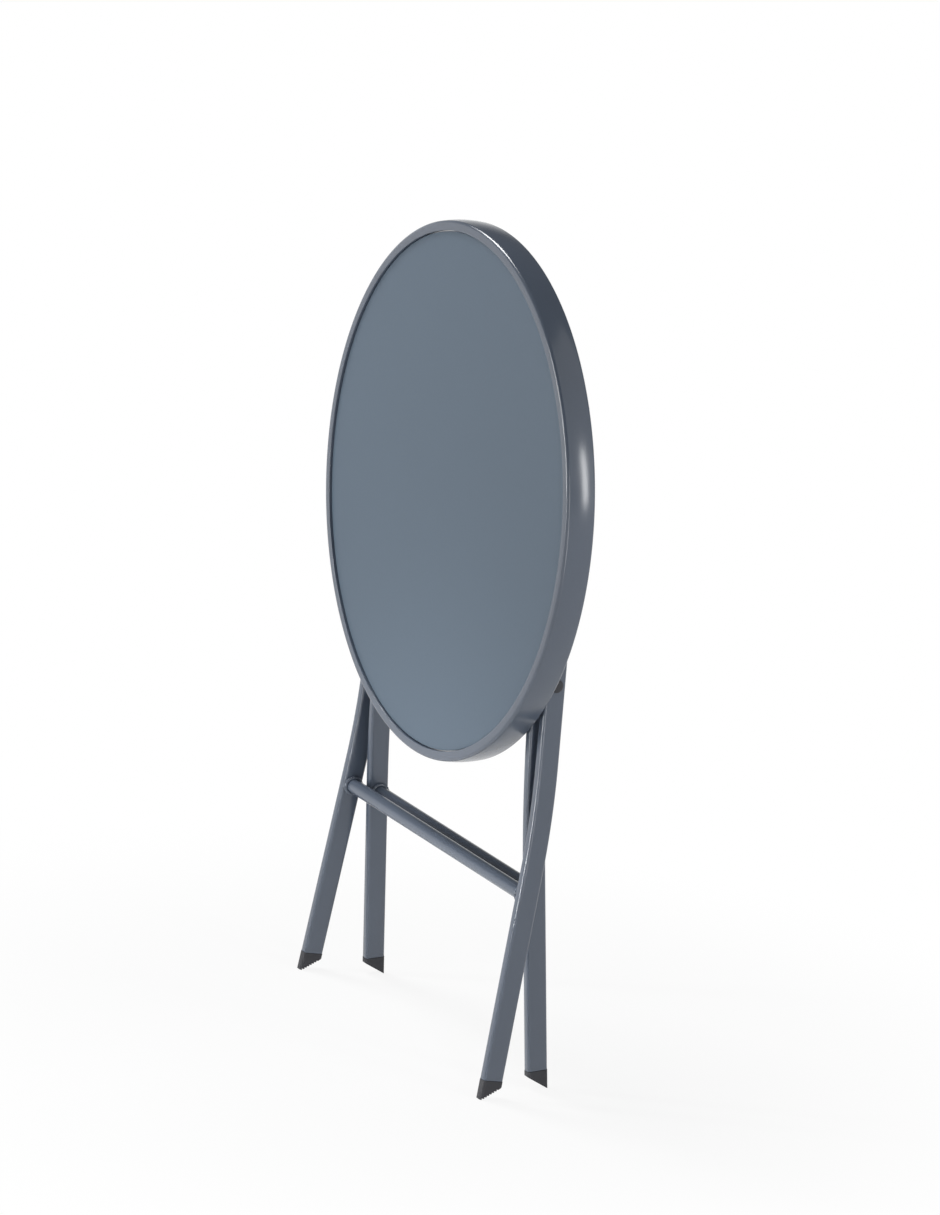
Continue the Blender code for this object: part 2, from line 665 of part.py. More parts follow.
def build_pivot(name, side, root, inner_axis, outer_leg, inner_leg):
    """A scissor pivot: bolt, cap and spacer on the outer leg, sleeve nut in the inner leg."""
    outer_x = leg_x(OUTER_FOOT_X, PIVOT_Z)
    inner_x = leg_x(INNER_FOOT_X, PIVOT_Z)
    half = LEG_THICKNESS / 2 / math.cos(LEG_SPLAY)
    turn = outward(side)
    cap_lean = SPLAY * PIVOT_CAP_RADIUS + GAP
    spacer_lean = SPLAY * PIVOT_SPACER_RADIUS + GAP
    nut_lean = SPLAY * PIVOT_NUT_RADIUS + GAP
    head_x = outer_x + half + cap_lean
    spacer_far = outer_x - half - spacer_lean
    spacer_near = inner_x + half + spacer_lean
    profile = stud_profile(PIVOT_HEAD_RADIUS, PIVOT_HEAD_HEIGHT, PIVOT_BOLT_RADIUS, head_x - spacer_near)
    head_at = (side * head_x, PIVOT_Y, PIVOT_Z)
    turned_part(f"pivot_bolt_{name}", profile, False, SMALL_STEPS, "zinc", root, head_at, turn)
    inside = PIVOT_HEAD_RADIUS + GAP
    crown = PIVOT_HEAD_HEIGHT + GAP + PIVOT_CAP_WALL
    dome = [(PIVOT_CAP_RADIUS * out, crown - PIVOT_CAP_WALL * down) for out, down in PIVOT_CAP_DOME]
    profile = [
        (0.0, crown),
        *dome,
        (PIVOT_CAP_RADIUS, 0.0),
        (inside, 0.0),
        (inside, PIVOT_HEAD_HEIGHT + GAP),
        (0.0, PIVOT_HEAD_HEIGHT + GAP),
    ]
    turned_part(f"pivot_cap_{name}", profile, False, SMALL_STEPS, "black_plastic", root, head_at, turn)
    profile = ring_profile(PIVOT_BOLT_RADIUS + GAP, PIVOT_SPACER_RADIUS, spacer_near, spacer_far)
    centre = (0.0, PIVOT_Y, PIVOT_Z)
    turned_part(f"pivot_spacer_{name}", profile, True, SMALL_STEPS, "black_plastic", root, centre, turn)
    nut_x = inner_x - half - nut_lean
    stem = inner_x + half - nut_lean - nut_x
    profile = stud_profile(PIVOT_NUT_RADIUS, PIVOT_NUT_HEIGHT, PIVOT_BOLT_RADIUS, stem)
    nut_at = (side * nut_x, PIVOT_Y, PIVOT_Z)
    turned_part(f"pivot_nut_{name}", profile, False, SMALL_STEPS, "zinc", inner_axis, nut_at, outward(-side))
    for leg, x in ((outer_leg, outer_x), (inner_leg, inner_x)):
        hole = rod_mesh("hole", PIVOT_BOLT_RADIUS + GAP, LEG_THICKNESS + CUT_OVER, SMALL_STEPS)
        hole_name = f"pivot_hole_{leg.name}"
        shape_with(leg, add_cutter(hole_name, hole, (side * x, PIVOT_Y, PIVOT_Z), turn))


def build_tabletop(axis):
    """Everything that turns with the top; returns the bolt holes that the outer legs need."""
    build_rim(axis)
    build_glass(axis)
    build_rail("hinge_rail", axis, HINGE_Z)
    catch_rail = build_rail("catch_rail", axis, CATCH_Z)
    holes = {}
    for name, side in SIDES:
        holes[name] = build_hinge(axis, name, side)
        build_catch(axis, name, side, catch_rail)
    return holes


def build_outer_frame(axis, holes):
    """The frame with the front feet, hinged to the top; returns its legs."""
    top = HINGE_Z + LEG_TOP_REACH
    legs = {}
    for name, side in SIDES:
        leg = build_leg(f"outer_leg_{name}", side, axis, OUTER_FOOT_X, OUTER_LINE, top)
        shape_with(leg, holes[name])
        build_foot(f"front_foot_{name}", side, axis, OUTER_FOOT_X, OUTER_LINE, -1, OUTER_LEAN)
        build_leg_plug(f"outer_plug_{name}", side, axis, OUTER_FOOT_X, OUTER_LINE, top)
        legs[name] = leg
    bar_y = OUTER_LINE[0](FRONT_BAR_Z)
    build_crossbar("front_crossbar", "front_weld", axis, OUTER_FOOT_X, bar_y, FRONT_BAR_Z)
    return legs


def build_inner_frame(axis):
    """The frame with the rear feet and the bar for the catches; returns its legs."""
    top = TOP_BAR_Z + LEG_TOP_REACH
    legs = {}
    for name, side in SIDES:
        legs[name] = build_leg(f"inner_leg_{name}", side, axis, INNER_FOOT_X, INNER_LINE, top)
        build_foot(f"rear_foot_{name}", side, axis, INNER_FOOT_X, INNER_LINE, 1, INNER_LEAN)
        build_leg_plug(f"inner_plug_{name}", side, axis, INNER_FOOT_X, INNER_LINE, top)
    bar_y = INNER_LINE[0](REAR_BAR_Z)
    build_crossbar("rear_crossbar", "rear_weld", axis, INNER_FOOT_X, bar_y, REAR_BAR_Z)
    build_crossbar("top_bar", "top_weld", axis, INNER_FOOT_X, TOP_BAR_Y, TOP_BAR_Z)
    return legs


def build_sleeves(axis):
    """The two plastic sleeves that slide under the top and snap into the catches."""
    for name, side in SIDES:
        half = SLEEVE_LENGTH / 2
        profile = ring_profile(BAR_RADIUS + GAP, SLEEVE_RADIUS, -half, half)
        location = (side * CATCH_X, TOP_BAR_Y, TOP_BAR_Z)
        turn = outward(side)
        turned_part(f"bar_sleeve_{name}", profile, True, SMALL_STEPS, "black_plastic", axis, location, turn)


def build_table():
    """Build the five bodies in the order that they hang on each other."""
    pivot_axis = make_axis("pivot_axis", PIVOT_Y, PIVOT_Z)
    outer_axis = make_axis("outer_frame_axis", PIVOT_Y, PIVOT_Z)
    top_axis = make_axis("tabletop_axis", HINGE_Y, HINGE_Z)
    sleeve_axis = make_axis("sleeve_axis", TOP_BAR_Y, TOP_BAR_Z)
    inner_axis = make_axis("inner_frame_axis", TOP_BAR_Y, TOP_BAR_Z)
    holes = build_tabletop(top_axis)
    outer_legs = build_outer_frame(outer_axis, holes)
    build_sleeves(sleeve_axis)
    inner_legs = build_inner_frame(inner_axis)
    for name, side in SIDES:
        build_pivot(name, side, pivot_axis, inner_axis, outer_legs[name], inner_legs[name])


clear_scene()
PARTS = make_collection("bistro_table")
CUTTERS = make_collection("cutters")
for finish_name, finish_values in FINISHES.items():
    make_finish(finish_name, *finish_values)
build_table()
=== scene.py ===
"""Looks of the folding bistro table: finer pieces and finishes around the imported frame.

Metres, +Z up. X runs along the hinges and -Y is the way the glass faces while the table is folded.
Paired pieces are modelled on the right, at +X, and mirrored to the left.
"""
from __future__ import annotations

import logging
import math
from collections.abc import Callable, Iterator, Mapping, Sequence
from contextlib import contextmanager
from dataclasses import dataclass
from enum import Enum

import bmesh
import bpy
from mathutils import Matrix, Vector

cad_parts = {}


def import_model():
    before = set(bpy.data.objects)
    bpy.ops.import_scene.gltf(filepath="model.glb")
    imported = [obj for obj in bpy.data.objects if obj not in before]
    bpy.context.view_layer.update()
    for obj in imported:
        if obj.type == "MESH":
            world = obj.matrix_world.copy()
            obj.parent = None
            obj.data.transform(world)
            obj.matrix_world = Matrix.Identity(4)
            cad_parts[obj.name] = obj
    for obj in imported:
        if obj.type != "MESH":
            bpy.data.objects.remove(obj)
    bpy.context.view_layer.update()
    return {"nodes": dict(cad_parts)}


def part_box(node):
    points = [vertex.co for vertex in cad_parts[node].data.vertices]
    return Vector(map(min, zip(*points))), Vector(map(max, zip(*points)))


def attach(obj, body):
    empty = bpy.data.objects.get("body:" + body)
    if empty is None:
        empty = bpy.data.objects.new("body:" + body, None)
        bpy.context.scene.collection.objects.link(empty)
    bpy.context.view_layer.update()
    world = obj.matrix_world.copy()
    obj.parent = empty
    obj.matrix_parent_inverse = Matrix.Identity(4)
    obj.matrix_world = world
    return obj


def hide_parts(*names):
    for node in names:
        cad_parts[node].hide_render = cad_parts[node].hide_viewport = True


LOG = logging.getLogger("bistro_table")

Thing = bpy.types.Object
Material = bpy.types.Material
Point = tuple[float, float]
Place = tuple[float, float, float]
Colour = tuple[float, float, float]

GAP = 0.0003  # least clearance between two pieces
MERGE = 0.000002  # points nearer than this become one
SQUARE = 0.9  # least cosine of a face that counts as square to an axis
HEX_SIDES = 6
HOLE_SIDES = 32
MIX_INPUTS = (0, 6, 7)  # a Mix node's factor and its two colours
MIX_RESULT = 2
WHITE: Colour = (1.0, 1.0, 1.0)
X_AXIS = Vector((1.0, 0.0, 0.0))
Y_AXIS = Vector((0.0, 1.0, 0.0))
Z_AXIS = Vector((0.0, 0.0, 1.0))


class Side(Enum):
    """The two mirrored halves of the table, as the nodes spell them."""

    LEFT = "left"
    RIGHT = "right"


class Body(Enum):
    """Bodies of the frame that pieces ride on."""

    PIVOTS = "pivots"
    OUTER = "outer_frame"
    TOP = "tabletop"
    SLEEVES = "sleeves"
    INNER = "inner_frame"


class Slot(Enum):
    """Material slots of the record."""

    PAINT = "grey_paint"
    GLASS = "grey_glass"
    PLASTIC = "black_plastic"
    SILICONE = "clear_silicone"
    ZINC = "zinc"


class Facing(Enum):
    """The way a leg frame's feet stand out, as their sign along Y."""

    FRONT = -1
    REAR = 1


class Cut(Enum):
    """Ways of cutting one solid with another."""

    AWAY = "DIFFERENCE"
    COMMON = "INTERSECT"


class Part(Enum):
    """Parts of a mesh that can be picked in edit mode."""

    FACES = "FACE"
    POINTS = "VERT"


KEPT_NODES: Mapping[str, Slot] = {"glass_pad": Slot.SILICONE, "pivot_bolt": Slot.ZINC}


class Wire:
    """A shader socket that can be reckoned with like a number."""

    def __init__(self, desk: ShaderDesk, socket: bpy.types.NodeSocket) -> None:
        """Remember the socket and the desk that it is wired on."""
        self.desk = desk
        self.socket = socket

    def __add__(self, other: Wire | float) -> Wire:
        """Sum of two values."""
        return self.desk.maths("ADD", self, other)

    def __sub__(self, other: Wire | float) -> Wire:
        """Difference of two values."""
        return self.desk.maths("SUBTRACT", self, other)

    def __mul__(self, other: Wire | float) -> Wire:
        """Product of two values."""
        return self.desk.maths("MULTIPLY", self, other)

    def __rsub__(self, other: float) -> Wire:
        """Difference with a number in front."""
        return self.desk.maths("SUBTRACT", other, self)

    __radd__ = __add__
    __rmul__ = __mul__


Value = Wire | float | Sequence[float]


class ShaderDesk:
    """Adds nodes to one node tree."""

    def __init__(self, tree: bpy.types.NodeTree) -> None:
        """Take over a node tree."""
        self.tree = tree

    def add(
        self,
        kind: str,
        inputs: Mapping[str | int, Value],
        settings: Mapping[str, str] | None = None,
        outlet: str | int = 0,
    ) -> Wire:
        """Add a node, set it up and wire its sockets.

        Args:
            kind: type of the node.
            inputs: values or wires of its sockets, by name or number.
            settings: properties of the node, which are set first.
            outlet: the output to hand back.

        Returns:
            The chosen output.
        """
        node = self.tree.nodes.new(kind)
        for key, value in (settings or {}).items():
            setattr(node, key, value)
        for key, value in inputs.items():
            self.feed(node.inputs[key], value)
        return Wire(self, node.outputs[outlet])

    def feed(self, socket: bpy.types.NodeSocket, value: Value) -> None:
        """Link a wire to a socket, or set the socket's own value.

        Args:
            socket: the input socket.
            value: a wire, a number or a colour.
        """
        if isinstance(value, Wire):
            self.tree.links.new(value.socket, socket)
        else:
            socket.default_value = value

    def maths(self, operation: str, first: Wire | float, second: Wire | float) -> Wire:
        """Add a Math node and hand back its result."""
        return self.add("ShaderNodeMath", {0: first, 1: second}, {"operation": operation})

    def place(self) -> Wire:
        """Coordinates of the piece itself."""
        return self.add("ShaderNodeTexCoord", {}, outlet="Object")

    def noise(self, grain: Grain) -> Wire:
        """Add cloudy noise from 0 to 1, laid out on the piece itself.

        Args:
            grain: the noise's sizes.

        Returns:
            The noise value.
        """
        where = self.place()
        if grain.stretch:
            where = self.add("ShaderNodeMapping", {"Vector": where, "Scale": grain.stretch})
        sizes = {"Scale": grain.scale, "Detail": grain.octaves, "Roughness": grain.fineness}
        return self.add("ShaderNodeTexNoise", {"Vector": where, **sizes})

    def blend(self, share: Wire, first: Wire | Colour, second: Wire | Colour) -> Wire:
        """Mix two colours.

        Args:
            share: share of the second colour.
            first: colour at 0.
            second: colour at 1.

        Returns:
            The mixed colour.
        """
        ends = [end if isinstance(end, Wire) else (*end, 1.0) for end in (first, second)]
        inputs = dict(zip(MIX_INPUTS, (share, *ends)))
        return self.add("ShaderNodeMix", inputs, {"data_type": "RGBA"}, MIX_RESULT)

    def bump(self, height: Wire, strength: float, distance: float) -> Wire:
        """Turn a height, whose step from 0 to 1 is a distance in metres, into a normal."""
        inputs = {"Height": height, "Strength": strength, "Distance": distance}
        return self.add("ShaderNodeBump", inputs)

    def seen_directly(self) -> Wire:
        """Tell what the camera sees, itself or in gloss and glass, from what only lights."""
        camera, glossy, through = (
            self.add("ShaderNodeLightPath", {}, outlet=f"Is {ray} Ray")
            for ray in ("Camera", "Glossy", "Transmission")
        )
        return self.maths("MINIMUM", camera + glossy + through, 1.0)


class MaterialDesk(ShaderDesk):
    """Builds one material round its Principled shader."""

    def __init__(self, name: str) -> None:
        """Start a material.

        Args:
            name: name of the material.
        """
        self.material = bpy.data.materials.new(name)
        self.material.use_nodes = True
        super().__init__(self.material.node_tree)
        self.shader = self.tree.nodes["Principled BSDF"]

    def dress(self, **sockets: Value) -> Material:
        """Wire or set sockets of the Principled shader.

        Args:
            sockets: values by socket name, with _ for a space.

        Returns:
            The material.
        """
        for name, value in sockets.items():
            self.feed(self.shader.inputs[name.replace("_", " ")], value)
        return self.material


@dataclass(frozen=True)
class Grain:
    """One layer of noise in a finish."""

    scale: float  # cells per metre
    octaves: float
    tint: float  # share in the colour
    haze: float = 0.0  # what it adds to the roughness
    fineness: float = 0.5  # strength of the finer octaves
    stretch: Place | None = None


@dataclass(frozen=True)
class Finish:
    """A finish whose colour and roughness vary with layers of noise, the first in relief."""

    name: str
    colour: Colour
    shades: Point  # darkest and lightest share of the colour
    roughness: float
    grains: tuple[Grain, ...]
    relief: Point | None = None  # strength and height
    gloss: float = 0.5
    metallic: float = 0.0
    transmission: float = 0.0

    def material(self) -> Material:
        """Build the material.

        Returns:
            The material with its nodes.
        """
        desk = MaterialDesk(self.name)
        layers = [(desk.noise(grain), grain) for grain in self.grains]
        tint = sum(noise * grain.tint for noise, grain in layers)
        haze = sum(noise * grain.haze for noise, grain in layers if grain.haze)
        dark, light = (tuple(part * shade for part in self.colour) for shade in self.shades)
        if self.relief:
            desk.dress(Normal=desk.bump(layers[0][0], *self.relief))
        return desk.dress(
            Base_Color=desk.blend(tint, dark, light),
            Roughness=self.roughness + haze,
            Specular_IOR_Level=self.gloss,
            Metallic=self.metallic,
            Transmission_Weight=self.transmission,
        )


@dataclass(frozen=True)
class PowderCoat(Finish):
    """Powder coat with a soft gloss, a fine orange peel and a faint cloudiness."""

    name: str = "powder_coat"
    colour: Colour = (0.083, 0.103, 0.139)
    shades: Point = (0.88, 1.12)
    roughness: float = 0.14
    grains: tuple[Grain, ...] = (
        Grain(scale=520.0, octaves=3.0, tint=0.25),
        Grain(scale=14.0, octaves=3.0, tint=0.5, haze=0.07),
        Grain(scale=2600.0, octaves=1.0, tint=0.25, haze=0.05),
    )
    relief: Point | None = (0.35, 0.000015)
    gloss: float = 0.65


@dataclass(frozen=True)
class WeldCoat(PowderCoat):
    """Powder coat over a rough weld seam, thicker and more uneven."""

    name: str = "weld_coat"
    roughness: float = 0.07
    grains: tuple[Grain, ...] = (
        Grain(scale=700.0, octaves=3.0, tint=0.25),
        *PowderCoat.grains[1:],
    )
    relief: Point | None = (0.35, 0.0012)


@dataclass(frozen=True)
class PaintedGlass(Finish):
    """Etched glass painted on its back: one even grey-blue with a soft sheen."""

    name: str = "painted_glass"
    colour: Colour = (0.098, 0.134, 0.176)
    shades: Point = (0.92, 1.08)
    roughness: float = 0.40
    grains: tuple[Grain, ...] = (
        Grain(scale=1500.0, octaves=2.0, tint=0.3, haze=0.06),
        Grain(scale=240.0, octaves=3.0, tint=0.4, fineness=0.6),
        Grain(scale=5.0, octaves=4.0, tint=0.3, haze=0.04, fineness=0.55),
    )
    relief: Point | None = (0.2, 0.00002)
    gloss: float = 0.2


@dataclass(frozen=True)
class MouldedPlastic(Finish):
    """Matt black plastic with the fine grain of its mould and signs of rubbing."""

    name: str = "moulded_plastic"
    colour: Colour = (0.033, 0.034, 0.040)
    shades: Point = (0.7, 1.35)
    roughness: float = 0.42
    grains: tuple[Grain, ...] = (
        Grain(scale=1300.0, octaves=3.0, tint=0.4, haze=0.08, fineness=0.6),
        Grain(scale=55.0, octaves=3.0, tint=0.6, haze=0.10),
    )
    relief: Point | None = (0.4, 0.00008)
    gloss: float = 0.4


@dataclass(frozen=True)
class PlatedSteel(Finish):
    """Bright zinc plate with fine turning marks and a faint bloom."""

    name: str = "zinc_plate"
    colour: Colour = (0.56, 0.57, 0.59)
    shades: Point = (0.78, 1.15)
    roughness: float = 0.24
    grains: tuple[Grain, ...] = (
        Grain(scale=2400.0, octaves=2.0, tint=0.4, stretch=(0.15, 1.0, 1.0)),
        Grain(scale=260.0, octaves=3.0, tint=0.6, haze=0.16),
    )
    relief: Point | None = (0.25, 0.00004)
    metallic: float = 1.0


@dataclass(frozen=True)
class SoftSilicone(Finish):
    """Milky clear silicone of the glass pads."""

    name: str = "silicone"
    colour: Colour = (0.60, 0.61, 0.62)
    shades: Point = (0.92, 1.05)
    roughness: float = 0.3
    grains: tuple[Grain, ...] = (Grain(scale=320.0, octaves=2.0, tint=1.0, haze=0.15),)
    transmission: float = 0.35


class Finishes:
    """The table's finishes, each made once, and the way pieces join the frame."""

    def __init__(self) -> None:
        """Make every material."""
        self.by_slot: dict[Slot, Material] = {
            Slot.PAINT: PowderCoat().material(),
            Slot.GLASS: PaintedGlass().material(),
            Slot.PLASTIC: MouldedPlastic().material(),
            Slot.SILICONE: SoftSilicone().material(),
            Slot.ZINC: PlatedSteel().material(),
        }
        self.weld = WeldCoat().material()

    def coat(self, thing: Thing, slot: Slot, material: Material | None = None) -> None:
        """Give an object its slot's finish, or another one."""
        thing.data.materials.clear()
        thing.data.materials.append(material or self.by_slot[slot])

    def dress(
        self,
        made: Piece,
        body: Body,
        slot: Slot,
        node: str,
        material: Material | None = None,
    ) -> None:
        """Give a piece its finish and its place in the frame.

        Args:
            made: the finished piece.
            body: the body that it rides on.
            slot: the record's slot of its finish.
            node: the frame's node that it stands for.
            material: a finish other than the slot's own.
        """
        piece = made.thing
        self.coat(piece, slot, material)
        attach(piece, body.value)
        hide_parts(node)
        LOG.info("%s rides on %s for %s", piece.name, body.value, node)

    def pair(
        self,
        made: Piece,
        body: Body,
        slot: Slot,
        stem: str,
        material: Material | None = None,
    ) -> None:
        """Dress a right-hand piece and its mirrored copy on the left.

        Args:
            made: the finished right-hand piece.
            body: the body that both ride on.
            slot: the record's slot of their finish.
            stem: the two nodes' name without the side.
            material: a finish other than the slot's own.
        """
        name = made.thing.name
        twin = made.mirrored(f"{name}_{Side.LEFT.value}")
        made.rename(f"{name}_{Side.RIGHT.value}")
        for half, side in ((made, Side.RIGHT), (twin, Side.LEFT)):
            self.dress(half, body, slot, f"{stem}_{side.value}", material)


def deselect() -> None:
    """Deselect every object."""
    bpy.ops.object.select_all(action="DESELECT")


def draw_out(move: Vector) -> None:
    """Extrude what is selected in edit mode by a move."""
    bpy.ops.mesh.extrude_region_move(TRANSFORM_OT_translate={"value": move})


class Piece:
    """A mesh on the bench, shaped by operators."""

    def __init__(self, name: str, scale: Sequence[float] = (1.0, 1.0, 1.0)) -> None:
        """Take over the object that was just added, and put its place into its mesh.

        Args:
            name: the piece's name.
            scale: what its mesh is scaled by.
        """
        self.thing: Thing = bpy.context.object
        self.thing.scale = scale
        self.rename(name)
        self.settle()

    def rename(self, name: str) -> None:
        """Name the object and its mesh."""
        self.thing.name = self.thing.data.name = name

    def select(self) -> None:
        """Select this piece alone and make it active."""
        deselect()
        self.thing.select_set(True)
        bpy.context.view_layer.objects.active = self.thing

    def settle(self) -> None:
        """Put the piece's place into its mesh."""
        self.select()
        bpy.ops.object.transform_apply(location=True, rotation=True, scale=True)

    @contextmanager
    def edit(self) -> Iterator[None]:
        """Work on all points of the piece in edit mode.

        Yields:
            Nothing; the mode ends with the block.
        """
        self.select()
        bpy.ops.object.mode_set(mode="EDIT")
        bpy.ops.mesh.select_mode(type="VERT")
        bpy.ops.mesh.select_all(action="SELECT")
        yield
        bpy.ops.object.mode_set(mode="OBJECT")

    def tidy(self, angle: float = 32.0) -> Piece:
        """Merge the piece's doubles, face it outwards and shade it smooth up to an angle.

        Args:
            angle: steepest edge in degrees that is still smooth.

        Returns:
            The same piece.
        """
        self.settle()
        with self.edit():
            bpy.ops.mesh.remove_doubles(threshold=MERGE)
            bpy.ops.mesh.normals_make_consistent(inside=False)
        bpy.ops.object.shade_smooth_by_angle(angle=math.radians(angle))
        return self

    def mirrored(self, name: str) -> Piece:
        """Copy the piece to the other side of the table.

        Args:
            name: the copy's name.

        Returns:
            The copy, with its own mesh.
        """
        self.select()
        bpy.ops.object.duplicate(linked=False)
        twin = Piece(name, (-1.0, 1.0, 1.0))
        with twin.edit():
            bpy.ops.mesh.normals_make_consistent(inside=False)
        return twin

    def apply(self, kind: str, **settings: object) -> None:
        """Add a modifier and apply it.

        Args:
            kind: type of the modifier.
            settings: its properties.
        """
        self.select()
        modifier = self.thing.modifiers.new(kind.lower(), kind)
        for key, value in settings.items():
            setattr(modifier, key, value)
        bpy.ops.object.modifier_apply(modifier=modifier.name)

    def soften(self, width: float, angle: float = 35.0) -> None:
        """Round the edges that are sharper than an angle in degrees."""
        limit = {"limit_method": "ANGLE", "angle_limit": math.radians(angle)}
        self.apply("BEVEL", width=width, segments=2, **limit)

    def cut(self, cutter: Piece, way: Cut = Cut.AWAY) -> None:
        """Cut the piece with another and drop the other."""
        self.apply("BOOLEAN", operation=way.value, solver="EXACT", object=cutter.thing)
        bpy.data.objects.remove(cutter.thing, do_unlink=True)

    def sink_socket(self, tip: Vector, size: Point) -> None:
        """Sink a hexagon socket of a radius and depth into an end that is square to X."""
        reach = X_AXIS * size[1]
        self.cut(Piece.rod("socket", size[0], (tip - reach, tip + reach), HEX_SIDES))

    def pick(
        self,
        part: Part,
        test: Callable[[bmesh.types.BMFace | bmesh.types.BMVert], bool],
    ) -> None:
        """Select faces or points in edit mode by their normal or place.

        Args:
            part: what is picked.
            test: tells of a face or point whether it is picked.
        """
        bpy.ops.mesh.select_all(action="DESELECT")
        bpy.ops.mesh.select_mode(type=part.value)
        work = bmesh.from_edit_mesh(self.thing.data)
        for element in work.faces if part is Part.FACES else work.verts:
            element.select_set(test(element))
        bmesh.update_edit_mesh(self.thing.data)

    @classmethod
    def trace(cls, name: str, points: Sequence[Vector], closed: bool) -> Piece:
        """Draw a line by extruding one point from the next.

        Args:
            name: the piece's name.
            points: the line's points.
            closed: whether the line ends where it starts.

        Returns:
            The line.
        """
        deselect()
        bpy.ops.mesh.primitive_plane_add(size=GAP, location=points[0])
        piece = cls(name)
        route = [*points, points[0]] if closed else points
        with piece.edit():
            bpy.ops.mesh.merge(type="CENTER")
            for start, end in zip(route, route[1:]):
                draw_out(end - start)
            bpy.ops.mesh.select_all(action="SELECT")
            bpy.ops.mesh.remove_doubles(threshold=MERGE)
        return piece

    @classmethod
    def lathe(
        cls,
        name: str,
        profile: Sequence[Point],
        centre: Vector,
        axis: Vector,
        steps: int,
        closed: bool = False,
    ) -> Piece:
        """Spin a profile about an axis.

        Args:
            name: the piece's name.
            profile: points as radius and distance along the axis.
            centre: the axis at distance 0.
            axis: direction of the axis, along X or Y.
            steps: facets of a full turn.
            closed: whether the profile is a closed line.

        Returns:
            The turned piece.
        """
        points = [centre + Z_AXIS * radius + axis * along for radius, along in profile]
        piece = cls.trace(name, points, closed)
        with piece.edit():
            bpy.ops.mesh.spin(steps=steps, angle=math.tau, center=centre, axis=axis)
        return piece.tidy()

    @classmethod
    def slab(cls, name: str, outline: Sequence[Point], low_x: float, high_x: float) -> Piece:
        """Give a side view's outline a width.

        Args:
            name: the piece's name.
            outline: points as Y and Z.
            low_x: where the width starts.
            high_x: where it ends.

        Returns:
            The slab, not yet smoothed.
        """
        piece = cls.trace(name, [Vector((low_x, y, z)) for y, z in outline], True)
        with piece.edit():
            bpy.ops.mesh.edge_face_add()
            draw_out(X_AXIS * (high_x - low_x))
            bpy.ops.mesh.select_all(action="SELECT")
            bpy.ops.mesh.normals_make_consistent(inside=False)
        return piece

    @classmethod
    def section(
        cls,
        name: str,
        size: Point,
        corner: float,
        place: Vector,
        turn: Sequence[float],
        steps: int = 7,
    ) -> Piece:
        """Lay a flat rounded section, ready to be drawn out along a path.

        Args:
            name: the piece's name.
            size: the section's sizes along its own X and Y.
            corner: radius of its corners.
            place: its middle.
            turn: its turn about X, Y and Z.
            steps: segments of a corner.

        Returns:
            The section.
        """
        deselect()
        bpy.ops.mesh.primitive_plane_add(size=1.0)
        piece = cls(name, (*size, 1.0))
        with piece.edit():
            bpy.ops.mesh.bevel(affect="VERTICES", offset=corner, segments=steps)
        piece.thing.location = place
        piece.thing.rotation_euler = turn
        piece.settle()
        return piece

    @classmethod
    def block(cls, name: str, size: Sequence[float], place: Vector, lean: float = 0.0) -> Piece:
        """Add a block to cut with.

        Args:
            name: the block's name.
            size: its sizes.
            place: its middle.
            lean: its turn about X.

        Returns:
            The block.
        """
        deselect()
        bpy.ops.mesh.primitive_cube_add(size=1.0, location=place, rotation=(lean, 0.0, 0.0))
        return cls(name, size)

    @classmethod
    def rod(cls, name: str, radius: float, ends: tuple[Vector, Vector], sides: int) -> Piece:
        """Add a round or six-sided rod to cut with or to start from.

        Args:
            name: the rod's name.
            radius: its radius at the corners.
            ends: the middles of its two ends.
            sides: its facets.

        Returns:
            The rod.
        """
        deselect()
        along = ends[1] - ends[0]
        bpy.ops.mesh.primitive_cylinder_add(
            vertices=sides,
            radius=radius,
            depth=along.length,
            location=(ends[0] + ends[1]) / 2,
            rotation=along.to_track_quat("Z", "X").to_euler(),
        )
        return cls(name)


def arc(centre: Point, radius: float | Point, start: float, end: float, steps: int) -> list[Point]:
    """Points of a round or flattened arc.

    Args:
        centre: its centre.
        radius: its radius, or its radii along both axes.
        start: first angle in degrees.
        end: last angle in degrees.
        steps: number of steps.

    Returns:
        The points from start to end.
    """
    wide, high = radius if isinstance(radius, tuple) else (radius, radius)
    points = []
    for step in range(steps + 1):
        angle = math.radians(start + (end - start) * step / steps)
        points.append((centre[0] + wide * math.cos(angle), centre[1] + high * math.sin(angle)))
    return points


def both_ends(half: Sequence[Point], length: float) -> list[Point]:
    """Complete the profile of one end of a turned piece with the same at its other end."""
    return [*half, *((radius, length - along) for radius, along in reversed(half))]


def turned_node(node: str, axis: Vector = X_AXIS) -> tuple[Vector, float, float]:
    """Find the axis and sizes of a turned node.

    Args:
        node: the node's name.
        axis: the direction that it lies along, X or Y.

    Returns:
        The middle of its lower end, its length and its radius.
    """
    low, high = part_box(node)
    length = (high - low).dot(axis)
    start = (low + high - axis * length) / 2
    return start, length, max(high - low - axis * length) / 2


